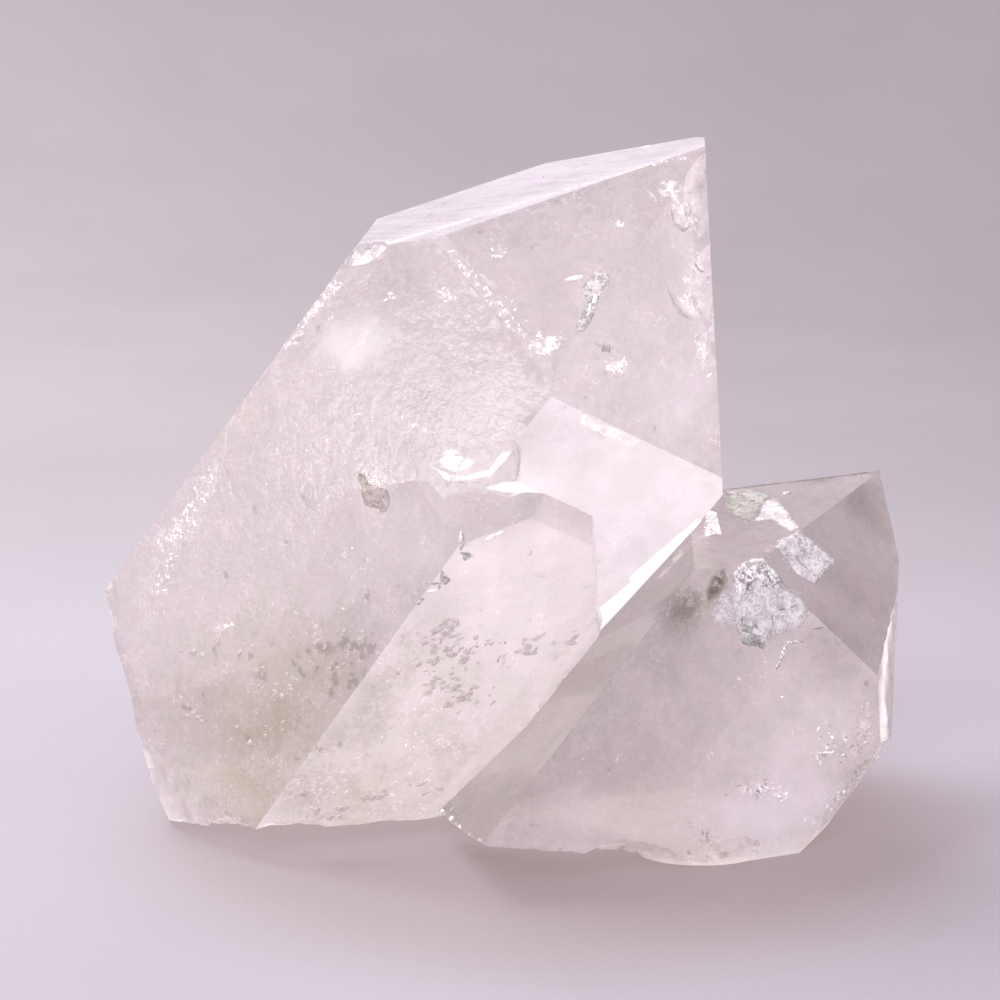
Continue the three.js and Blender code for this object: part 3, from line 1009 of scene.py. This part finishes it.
haze = crack_finish("hazy_chip", (0.80, 0.75, 0.77), (1, 0.95, 0.98), 0.15, 0.4, glow=0.42,
                    veined=0.1, deep_painted_glow=1)
sparkle = crack_finish("sparkling_chip", (0.84, 0.78, 0.80), (1, 1, 1), 0.35, 0.4, glow=0.5,
                       deep_painted_glow=0.9)
frost = crack_finish("frosted_crack", (0.60, 0.57, 0.575), (1, 0.97, 1), 1.5, 0.45, glow=0.35)
pale_green = crack_finish("pale_green_crack", (0.43, 0.43, 0.40), (0.72, 0.73, 0.70), 0.9, 0.4)
veil = crack_finish("white_veil", (0.95, 0.885, 0.915), (1, 0.96, 0.98), 1.5, 0.1, glow=0.40,
                    deep_painted_glow=1)
sand = crack_finish("sandy_crack", (0.63, 0.59, 0.60), (0.92, 0.88, 0.92), 1.1, 0.35, glow=0.16,
                    veined=0.11)
sleet = crack_finish("sleety_crack", (0.62, 0.585, 0.59), (1, 0.95, 1), 1.5, 0.35, glow=0.28,
                     veined=0.1)
# serves the grey scraps, and the painted shadows in the chips; its glow is painted light
hollow = crack_finish("grey_scraps_and_painted_shadow", (0.50, 0.445, 0.45), (0.68, 0.61, 0.62), 0.7, 0.15, glow=0.4,
                      deep_painted_glow=1)
smoke = crack_finish("smoky_crack", (0.42, 0.35, 0.325), (0.62, 0.55, 0.525), 0.7, 0.7)
ash = crack_finish("ashen_film", (0.36, 0.345, 0.34), (0.70, 0.65, 0.66), 0.7, 0.5, glow=0.35,
                   deep_painted_glow=1)
moss = crack_finish("green_film", (0.15, 0.15, 0.095), (0.33, 0.32, 0.25), 0.6, 0.4)
lichen = crack_finish("pale_moss_film", (0.33, 0.32, 0.25), (0.50, 0.46, 0.42), 0.6, 0.6)
# bright_film glows strongly: a painted highlight on the white features
gleam = crack_finish("bright_film", (0.99, 0.97, 0.99), (1, 1, 1), 1.5, 0.1, glow=0.7, deep_painted_glow=1)
dusk = crack_finish("dark_film", (0.30, 0.26, 0.26), (0.44, 0.40, 0.39), 1.5, 0.3)

# %% Sheets in the main and the front crystal
crack_sheet("brown_crack", smoke, [(-14.8, -15.3, 39.2), (-14.1, -15.8, 39), (-13.7, -16.3, 38.3),
    (-12.8, -17.2, 38.2), (-11.8, -18, 38), (-11.5, -18.4, 37.2), (-11.8, -18.5, 36),
    (-12.4, -18.2, 35.6), (-13.1, -17.6, 36), (-14.2, -16.8, 36.1), (-14.5, -15.9, 37.7),
    (-14.9, -15.5, 38.4)], ragged=0.2, seed=1)
crack_sheet("ashen_crack", ash, [(8.2, -17.6, 59.2), (9.6, -17.7, 59.1), (9.5, -18.5, 58.2),
    (8.9, -19, 57.5), (8.4, -19.8, 56.5), (7.7, -20.7, 54.7), (6.9, -21.6, 53.8),
    (5.9, -21.9, 53.8), (6.4, -20.9, 55.1), (7.1, -19.8, 56.5), (6.6, -18.8, 57.7),
    (7.5, -18.1, 58.6)], ragged=0.25, soft_rim=0.05, seed=2)
crack_sheet("ashen_fleck", ash, [(8.5, -20.6, 52.5), (9.6, -19.8, 52.4), (9.5, -20, 51.6),
    (8.6, -20.7, 51.8)], seed=3)
crack_sheet("arrow_head", ash, [(-6.6, -23.6, 31.6), (-5.6, -22.8, 30.1), (-6.1, -22.7, 29.6),
    (-6.8, -23, 29.8)], ragged=0.1, seed=4)
crack_sheet("arrow_trail", ash, [(-9, -22.8, 27.8), (-8.5, -23, 28.5), (-8.1, -22.9, 28.4),
    (-8.7, -22.7, 27.6)], ragged=0.2, seed=5)
crack_sheet("spindle_foot", ash, [(-4.8, -23.9, 33.2), (-3.8, -23.4, 33), (-3.4, -23.1, 32.6),
    (-4.4, -23.2, 32)], ragged=0.2, seed=6)
crack_sheet("white_triangle", sparkle, [(2.1, -22.2, 53.2), (3.4, -22, 53.6), (5.3, -22, 53.6),
    (4.7, -22.9, 52.5), (3.3, -23.4, 51.8), (2.3, -23, 52)], ragged=0.5, soft_rim=0.3, seed=7)
# the bright films here are partly painted highlight
crack_sheet("white_sliver", gleam, [(-2.6, -20.7, 38.7), (-0.9, -21.1, 39.3), (0.5, -21.8, 39.6),
    (3, -20.3, 38.1), (0, -21.5, 38.4)], ragged=0.05, soft_rim=0.02, seed=8)
crack_sheet("pale_band_edge", gleam, [(11.8, -12.3, 27.8), (13.9, -12.5, 29.8), (16.4, -12.7, 32),
    (18.6, -12.9, 33.9), (19.2, -12.6, 33.6), (17.1, -12.3, 31.7), (14.7, -11.3, 29),
    (12.5, -9.8, 26.2)], ragged=0.05, soft_rim=0.01, seed=20)
crack_sheet("veil_under_ridge", sparkle, [(6.4, -23.3, 46.7), (8.5, -21.9, 45.4), (11, -20.4, 44),
    (12.6, -19.3, 43), (11.7, -19.4, 42.4), (8.8, -21, 43.8),
    (6.6, -22.5, 45.2)], ragged=0.5, soft_rim=0.12, seed=21)
crack_sheet("veil_by_lens", veil, [(-7.7, -19.5, 40.6), (-5.9, -20.9, 39.3), (-3.8, -20.7, 39.3),
    (-1.9, -20.9, 39.7), (-0.5, -21.8, 41.4), (0.3, -23, 42.8), (-0.9, -22.2, 42.4),
    (-2.1, -21.1, 40.5), (-4.4, -20.8, 39.8)], ragged=0.05, soft_rim=0.05, seed=22)
# a painted highlight: the bright lens in the chip, drawn as a glowing sheet
crack_sheet("lens_painted_highlight", veil, [(-6.9, -20, 41.3), (-6, -20.4, 41.9), (-4.4, -21, 41.9),
    (-3.3, -21.1, 41.3), (-3.9, -21, 40.5), (-5.2, -21, 40.2),
    (-6.3, -20.4, 40.5)], ragged=0.25, soft_rim=0.1, seed=9)
crack_sheet("tip_corner_chip", haze, [(13.6, -11.9, 66.8), (15.7, -11.2, 67.6), (17.7, -10.3, 67),
    (18.6, -9.5, 65), (18.5, -11.1, 61.8), (16.9, -12.5, 61.9), (15.6, -13, 63.2),
    (15.2, -12.9, 64.8)], ragged=0.8, soft_rim=0.4, seed=23)
crack_sheet("tip_side_chip", haze, [(15.2, -14.4, 58.3), (17.5, -12.4, 59.7), (19.2, -10.4, 59.1),
    (19.4, -11, 55.3), (19.2, -12.2, 53.6), (17.3, -13.7, 54),
    (15.9, -14.5, 55.5)], ragged=0.5, soft_rim=0.35, seed=24)

# %% Sheets in the rear crystal
crack_sheet("rhombus_crack", sleet, [(26.7, -5.5, 29.3), (30, 0.1, 30), (34.1, 1, 26.3),
    (31.4, -4.6, 25.2), (29, -6, 26.8), (28.1, -5.6, 28.1)], ragged=0.1, soft_rim=0.03, seed=11)
crack_sheet("fan_crack", sand, [(22.3, -10.7, 28), (23.2, -9.9, 28.8), (24.4, -8.4, 28.9),
    (25.5, -8.3, 28.9), (26.4, -8.3, 28.1), (27.6, -8.5, 26.5), (29.4, -7.2, 25.3),
    (30.7, -8.1, 23.2), (29.3, -9.2, 21.7), (26.4, -10.7, 21), (25.6, -11.3, 20.1),
    (23.2, -12.1, 20.9), (22.5, -12, 22.6), (19.4, -13.1, 23.5),
    (21, -11.7, 26.4)], ragged=0.7, soft_rim=0.14, seed=12)
crack_sheet("fan_head", frost, [(22.3, -10.7, 28), (23.2, -9.9, 28.8), (24.4, -8.4, 28.9),
    (25.5, -8.3, 28.9), (26.4, -8.3, 28.1), (27.6, -8.5, 26.5), (25.4, -10, 25.6),
    (23, -11.2, 26)], ragged=0.1, soft_rim=0.08, seed=13)
crack_sheet("fan_green_corner", pale_green, [(23.2, -11.9, 23.6), (24.4, -11.2, 23.4),
    (25.8, -11.1, 21.4), (25.6, -11.3, 20.1), (23.2, -12.1, 20.9)], ragged=0.3, seed=14)
crack_sheet("sparkling_crack", sleet, [(26.3, 5, 30.9), (26.9, 8, 31.3), (28.4, 9.2, 31.5),
    (29.3, 5.6, 30.9), (30.2, 0.5, 30.1), (29, -1.2, 29.8), (28.3, 0.4, 30.1), (27.4, 2, 30.3),
    (25.2, 1.6, 30.4)], ragged=0.6, soft_rim=0.12, seed=15)
crack_sheet("pale_green_crack", pale_green, [(22.6, 5.6, 31.2), (23, 10.4, 31.9), (25.4, 11.8, 32),
    (28.2, 9.4, 31.5), (26.8, 6.2, 31), (26.2, 3, 30.6), (24.6, 1, 30.4),
    (23.4, 3, 30.8)], ragged=0.5, soft_rim=0.12, seed=16)
crack_sheet("green_film", moss, [(21.5, -10.6, 28.7), (21.8, -11.1, 27.3), (21, -11.8, 25.9),
    (19.7, -12.6, 25.2), (19.3, -12.4, 26.4),
    (20.2, -11.6, 28.2)], ragged=0.3, soft_rim=0.45, seed=17)
crack_sheet("pale_moss_film", lichen, [(17.7, -12.9, 27.4), (19.1, -12.5, 26.4),
    (19.3, -12.8, 25.1), (17.9, -13.7, 23.9), (15.5, -14.7, 24),
    (16.3, -13.9, 26)], ragged=0.5, soft_rim=0.5, seed=18)
crack_sheet("joint_chips", frost, [(20.7, 5, 31.1), (21.8, 4, 31), (21.9, -2.5, 30),
    (20.6, -2.6, 30), (20.3, 1, 30.5)], ragged=0.3, seed=19)

# %% [markdown]
# Some cracks are seen edge on, as thin strokes: the ribs at the head of the fan, the shaft of
# the arrow, a hook under the fan. One function draws any number of strokes as one piece.

# %% Strokes
strokes("pale_strokes", frost, [
    ((22.5, -10.6, 27.9), (23.6, -10.7, 26.4), 0.35),
    ((22.9, -10.2, 28.4), (24.2, -10.4, 26.3), 0.3),
    ((23.4, -9.8, 28.8), (24.6, -10.1, 26.7), 0.35), ((24, -9.2, 28.9), (25.5, -9.7, 26.5), 0.5),
    ((25.3, -8.5, 28.8), (26.9, -8.9, 26.9), 0.6), ((26.2, -8.4, 28.2), (27.6, -8.6, 26.4), 0.4),
    ((27.6, -10.2, 20.6), (29.6, -9.3, 20.5), 0.3),
    ((27.8, -10.2, 20.3), (27.3, -10.8, 18.9), 0.55),
    ((27.3, -10.8, 18.9), (26.6, -11.3, 18), 0.3), ((29.5, 10.8, 31.7), (30, 10.2, 31.6), 1),
])
strokes("dark_strokes", dusk, [
    ((23.8, -9.6, 28.4), (24.9, -9.9, 26.7), 0.2), ((24.8, -8.9, 28.6), (26.4, -9.3, 26.5), 0.35),
    ((26.4, -10, 23.7), (28.9, -8.8, 24.1), 0.12), ((26.4, -10, 23.7), (26.4, -10.3, 22.3), 0.12),
    ((23.9, -11.5, 23.3), (25, -11.2, 22), 0.2), ((30.6, -8.6, 21.6), (31.8, -8, 21.6), 0.12),
    ((23.7, 11, 32), (31.6, 14.7, 32.2), (39.3, 18, 32.4), 0.6),
])
strokes("arrow_strokes", ash, [
    ((-8.2, -22.8, 30), (-6.6, -23, 29.9), 0.3), ((-8.2, -22.8, 30.1), (-8.2, -22.9, 29.5), 0.3),
    ((-6.7, -23, 29.9), (-6.7, -23, 29.1), 0.25), ((-4.6, -23.2, 35), (-4.7, -23.9, 33.3), 0.6),
])
# painted shade: dark slivers in the chips at the tip and beside the lens, where shade falls
strokes("chip_shadows", hollow, [
    ((15.4, -12.9, 64.8), (15.8, -13, 63.1), (16.8, -12.4, 62.4), (17.5, -11.8, 62.8), 0.4),
    ((17.5, -10.5, 65.1), (18, -10.3, 63.8), 0.3),
    ((15.1, -14.7, 57.2), (15.8, -14.5, 55.5), (16.8, -14, 54.4), (17.7, -13.5, 53.8), 0.4),
    ((18.2, -11.9, 59.2), (18.8, -10.8, 58.2), (19.3, -10.4, 58), 0.3),
    ((12.8, -12, 66.7), (14, -12.6, 65.6), (14.4, -13.1, 64.6), 0.25),
    ((-7.7, -19.5, 40.7), (-5.9, -20.9, 39.3), 0.18),
    ((-5.9, -20.9, 39.3), (-2.9, -20.7, 39.2), 0.15),
])
# white strokes in the bright film, partly painted highlight
strokes("white_strokes", gleam, [
    ((-2.5, -22.9, 34.5), (-1.6, -22.9, 34.9), 0.3),
    ((-1.5, -22.8, 34.9), (-0.8, -22.8, 35.2), 0.25),
    ((7.6, -19.9, 56.4), (7.4, -20.4, 55.1), 0.3), ((8.2, -19.2, 56.9), (7.8, -19.7, 56.2), 0.3),
    ((5.3, -18, 58.2), (6.9, -17.9, 58.6), 0.4), ((-7.9, -23, 29.2), (-7, -23, 29.1), 0.25),
    ((-6.2, -19.9, 41.9), (-4.7, -20.4, 42.1), 0.5),
])

# %% [markdown]
# Between them float small grey scraps, flat and few-cornered, in loose drifts. Each is a fan of
# triangles round a middle point; its rim is fainter than its middle.

# %% Scraps
SCRAP_CORNERS = 7
MIDDLE_FADE, RIM_FADE = 0.7, 0.4
scrap_draw = random.Random(88)


def scraps(name, finish, drifts):
    bm = bmesh.new()
    fade = bm.verts.layers.float.new("fade")
    for start, end, spread, count, size in drifts:
        for _ in range(count):
            at = Vector(start).lerp(Vector(end), scrap_draw.random())
            at += Vector([scrap_draw.gauss(0, spread * 0.5) for _ in range(3)])
            at = stone_surface.find_nearest(at * MM)
            side = Vector((1, 0, scrap_draw.gauss(0, 0.5))).cross(at[1]).cross(at[1]).normalized()
            up = side.cross(at[1]) * scrap_draw.uniform(0.35, 0.8)
            reach = size * scrap_draw.uniform(0.35, 1.0) * MM
            middle = bm.verts.new(laid_on_stone(at[0], at[1]))
            middle[fade] = MIDDLE_FADE
            ring = []
            for corner in range(SCRAP_CORNERS):
                turn = math.tau * corner / SCRAP_CORNERS
                off = reach * scrap_draw.uniform(0.4, 1.0)
                place = at[0] + side * math.cos(turn) * off + up * math.sin(turn) * off
                ring.append(bm.verts.new(laid_on_stone(place, at[1])))
                ring[-1][fade] = RIM_FADE
            for first, last in zip(ring, ring[1:] + ring[:1]):
                bm.faces.new([middle, first, last])
    bmesh.ops.recalc_face_normals(bm, faces=bm.faces)
    sheet_piece(name, bm, finish)


scraps("grey_scraps", hollow, [
    ((-6.0, -21.0, 25.9), (-6.4, -20.4, 24.6), 0.8, 7, 1.0),
    ((-8.9, -21.0, 23.8), (-2.3, -18.3, 22.6), 1.4, 18, 0.8),
    ((-6.8, -19.9, 23.0), (-3.9, -18.1, 21.0), 1.0, 10, 0.8),
    ((0.6, -16.5, 21.5), (2.0, -15.8, 21.4), 0.5, 4, 1.0),
    ((-8.3, -18.4, 18.5), (-1.7, -14.9, 16.0), 1.8, 26, 0.9),
    ((-9.5, -20.5, 21.0), (-5.0, -17.0, 18.0), 2.2, 24, 0.6),
    ((7.0, -15.0, 23.2), (6.2, -14.8, 21.6), 0.7, 5, 1.1),
    ((-14.0, -16.5, 6.0), (-5.0, -13.0, 5.0), 1.5, 12, 0.8),
    ((-33.4, -8.2, 19.1), (-30.7, -9.9, 19.2), 0.5, 8, 0.7),
    ((-26.9, -12.0, 20.0), (-26.5, -12.3, 20.4), 0.3, 3, 0.5),
    ((-32.3, -10.0, 14.6), (-31.4, -11.0, 12.5), 1.2, 16, 0.7),
    ((-35.3, -9.1, 9.9), (-35.0, -9.3, 9.5), 0.4, 4, 0.7),
    ((-21.0, -15.5, 22.5), (-15.0, -19.5, 23.0), 2.2, 34, 0.6),
    ((-26.0, -12.8, 19.0), (-20.0, -16.0, 17.5), 2.2, 26, 0.5),
    ((-22.0, -15.0, 14.0), (-27.0, -14.0, 10.0), 3.0, 14, 0.6),
    ((-17.1, -13.0, 42.9), (-13.0, -15.5, 44.0), 2.5, 8, 0.6),
    ((8.2, -20.7, 52.6), (9.4, -20.1, 52.0), 0.5, 7, 0.6),
    ((-20.5, -16.2, 5.0), (-16.0, -16.5, 3.5), 1.2, 14, 0.7),
])

# %% [markdown]
# ## Flecks
#
# Tiny cracks catch the light as white sparks, most of them in swarms along edges and old
# breaks, and a few dark grains sit between them. One flattened ball of twenty faces is copied
# many times; each swarm lies between two points, flat against the face it is under. All random
# numbers come from seeded sources, so that every run gives the same stone.

# %% Swarms
draw = random.Random(417)
MAIN_LEFT = growth["main"]["side_front_left"]
MAIN_RIGHT = growth["main"]["side_front_right"]
TOP_FACE = growth["main"]["tip_upper_left"]
MAIN_TIP_LEFT = growth["main"]["tip_front_left"]
MAIN_TIP_RIGHT = growth["main"]["tip_front_right"]
REAR_FRONT = growth["rear"]["side_front_left"]
REAR_TOP = growth["rear"]["tip_upper_left"]
REAR_TIP = growth["rear"]["tip_front_left"]
BRIGHT_SWARMS = [
    (MAIN_LEFT, (-28.9, -5.8, 37.9), (-31.7, -5.2, 33.0), 1.3, 90, 0.13),
    (MAIN_LEFT, (-31.7, -5.2, 33.0), (-34.4, -4.4, 29.1), 1.6, 130, 0.14),
    (MAIN_LEFT, (-34.0, -4.8, 28.4), (-35.8, -4.4, 23.7), 1.5, 80, 0.11),
    (MAIN_LEFT, (-22.3, -7.9, 50.5), (-16.8, -9.6, 56.8), 0.6, 130, 0.15),
    (MAIN_LEFT, (-29.3, -9.2, 21.6), (-27.3, -10.2, 22.7), 0.35, 26, 0.16),
    (MAIN_LEFT, (-6.1, -15.9, 56.6), (-5.0, -16.6, 56.0), 1.0, 34, 0.18),
    (MAIN_LEFT, (-11.5, -12.6, 56.2), (-10.6, -13.2, 55.6), 0.8, 18, 0.13),
    (MAIN_LEFT, (-16.0, -11.5, 47.0), (-13.5, -13.2, 44.5), 2.2, 24, 0.13),
    (MAIN_LEFT, (-10.0, -15.6, 46.0), (-7.5, -17.3, 42.5), 2.0, 40, 0.13),
    (MAIN_LEFT, (-22.0, -10.0, 40.0), (-18.0, -13.0, 36.0), 3.5, 44, 0.11),
    (MAIN_LEFT, (-15.0, -16.0, 30.0), (-12.0, -18.5, 27.0), 3.0, 34, 0.11),
    (MAIN_TIP_LEFT, (-6.4, -14.5, 61.2), (3.8, -22.6, 51.6), 0.8, 150, 0.15),
    (MAIN_TIP_LEFT, (-1.4, -15.6, 60.2), (-0.8, -16.0, 59.8), 0.8, 16, 0.14),
    (MAIN_TIP_RIGHT, (8.8, -19.8, 50.1), (10.6, -18.8, 50.0), 0.7, 60, 0.2),
    (MAIN_TIP_RIGHT, (18.0, -12.8, 52.5), (18.8, -12.4, 48.8), 0.9, 70, 0.15),
    (MAIN_TIP_RIGHT, (16.5, -10.5, 65.2), (18.4, -10.6, 58.5), 1.3, 90, 0.12),
    (MAIN_TIP_RIGHT, (9.8, -14.2, 62.8), (11.0, -13.6, 62.8), 0.3, 12, 0.18),
    (MAIN_RIGHT, (-13.0, -17.0, 12.6), (-5.0, -13.5, 11.0), 1.6, 60, 0.13),
    (MAIN_RIGHT, (-16.0, -16.0, 7.0), (-6.0, -12.0, 7.5), 1.6, 50, 0.11),
    (REAR_FRONT, (30.5, -10.6, 10.1), (37.0, -7.2, 11.0), 2.2, 110, 0.15),
    (REAR_FRONT, (22.0, -15.2, 7.0), (28.5, -12.8, 6.0), 1.1, 50, 0.15),
    (REAR_FRONT, (30.0, -12.6, 2.0), (34.5, -10.4, 5.5), 0.8, 60, 0.14),
    (REAR_FRONT, (20.5, -13.0, 17.0), (31.0, -8.6, 15.0), 3.0, 30, 0.12),
    (REAR_TOP, (20.2, -3.0, 29.5), (20.9, 1.5, 29.9), 0.4, 70, 0.2),
    (REAR_TIP, (27.0, -6.0, 27.3), (31.5, -1.5, 26.5), 1.8, 40, 0.12),
    (MAIN_TIP_LEFT, (-13.0, -11.5, 60.7), (-4.0, -11.3, 63.2), 0.5, 150, 0.14),
    (MAIN_TIP_LEFT, (-4.0, -11.3, 63.2), (17.0, -9.8, 69.3), 0.4, 170, 0.12),
    (MAIN_TIP_LEFT, (-16.8, -7.4, 58.2), (-12.0, -10.5, 60.3), 0.9, 110, 0.13),
]
DARK_SWARMS = [
    (TOP_FACE, (-8.3, -3.9, 62.3), (-8.3, -3.9, 62.3), 0.5, 4, 0.3),
    (TOP_FACE, (-13.8, -4.4, 60.6), (-12.8, -4.4, 60.8), 0.3, 4, 0.3),
    (TOP_FACE, (-2.6, 0.7, 64.4), (-2.6, 0.7, 64.4), 0.2, 3, 0.25),
    (TOP_FACE, (3.7, -1.4, 66.0), (3.7, -1.4, 66.0), 0.2, 3, 0.25),
    (MAIN_RIGHT, (-8.2, -20.0, 24.5), (1.5, -15.4, 20.6), 2.4, 22, 0.2),
    (MAIN_LEFT, (-20.5, -16.0, 19.0), (-13.5, -20.2, 23.0), 2.0, 24, 0.16),
    (MAIN_LEFT, (-9.0, -22.0, 28.4), (-8.2, -22.4, 31.0), 0.3, 14, 0.16),
    (REAR_FRONT, (31.5, -10.4, 10.2), (36.5, -7.6, 9.5), 1.8, 50, 0.17),
    (REAR_FRONT, (34.2, -10.0, 6.3), (36.0, -8.8, 8.0), 0.4, 20, 0.2),
    (REAR_FRONT, (21.5, -15.2, 7.4), (26.5, -13.6, 6.0), 0.9, 34, 0.2),
]
print("swarms:", len(BRIGHT_SWARMS), "bright,", len(DARK_SWARMS), "dark")

# %% Scatter the flecks
STRAIGHT = 0.95
SLIVER = (0.42, 0.15)
SHARD = (0.45, 1.25)
SINK = (-0.04, 0.16)
PROUD_FLECK = 0.03
LOOSE_DEPTH = (0.3, 2.5)


def trimmed(point):
    """A point that stands out of the stone is put back on it."""
    place, normal, _, away = stone_surface.find_nearest(point)
    way_through = stone_surface.ray_cast(point, normal)[1]
    inside = way_through is not None and way_through.dot(normal) > 0
    if not inside and away > PROUD_FLECK * MM:
        point = place + normal * PROUD_FLECK * MM
    return Vector([min(max(point[i], cad_box[0][i]), cad_box[1][i]) for i in range(3)])


def fleck_at(bm, at, size, normal):
    turn = (normal.to_track_quat("Z", "Y").to_matrix().to_4x4()
            @ Matrix.Rotation(draw.uniform(0, math.tau), 4, "Z")
            @ Matrix.Rotation(draw.gauss(0, 0.4), 4, "Y"))
    shape = Matrix.Diagonal((draw.uniform(0.7, 2.4), *SLIVER, 1))
    made = bmesh.ops.create_icosphere(bm, subdivisions=1, radius=size * MM)
    placed = Matrix.Translation(at * MM) @ turn @ shape
    for vert in made["verts"]:
        vert.co = trimmed(placed @ (vert.co * draw.uniform(*SHARD)))


def swarm(bm, under, start, end, spread, count, size):
    side = under.orthogonal().normalized()
    up = under.cross(side)
    for _ in range(count):
        along = Vector(start).lerp(Vector(end), draw.random())
        off = side * draw.gauss(0, spread * 0.5) + up * draw.gauss(0, spread * 0.5)
        at = stone_surface.find_nearest((along + off) * MM)
        sink = -at[1] * draw.uniform(*SINK)
        fleck_at(bm, at[0] / MM + sink, size * draw.uniform(0.35, 1.0) ** 2 * 1.5, at[1])


def fleck_piece(name, swarms, loose, loose_size, finish):
    bm = bmesh.new()
    for group in swarms:
        swarm(bm, *group)
    for _ in range(loose):
        face = draw.choice(mesh.polygons)
        at = face.center - face.normal * draw.uniform(*LOOSE_DEPTH) * MM
        size = loose_size * draw.uniform(0.4, 1.2)
        nearest = stone_surface.find_nearest(at)
        depth = (nearest[0] - at).length
        if depth > size * MM and (nearest[0] - at).dot(nearest[1]) > STRAIGHT * depth:
            fleck_at(bm, at / MM, size, nearest[1])
    piece = add_piece(name, bm)
    piece.data.materials.append(finish)
    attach(piece, "root")


def fleck_finish(name, deep, pale, glow):
    shader = Shader(name)
    shade = shader.grain(shader.place(), 2.5, detail=2)
    colours = shader.mixed(shade.between(0.35, 0.65), colour(*deep), colour(*pale))
    surface = shader.node("BsdfPrincipled", {}, {
        "Base Color": colours, "Roughness": 0.2, "Emission Color": colours,
        "Emission Strength": glow})
    return shader.finish(surface.wire("BSDF"))


# the bright flecks' emission is a painted sparkle
fleck_piece("bright_flecks", BRIGHT_SWARMS, 700, 0.11,
            fleck_finish("bright_fleck", (0.9, 0.88, 0.9), (1, 1, 1), 0.9))
fleck_piece("dark_grains", DARK_SWARMS, 60, 0.10,
            fleck_finish("dark_grain", (0.34, 0.28, 0.28), (0.58, 0.52, 0.51), 0.0))
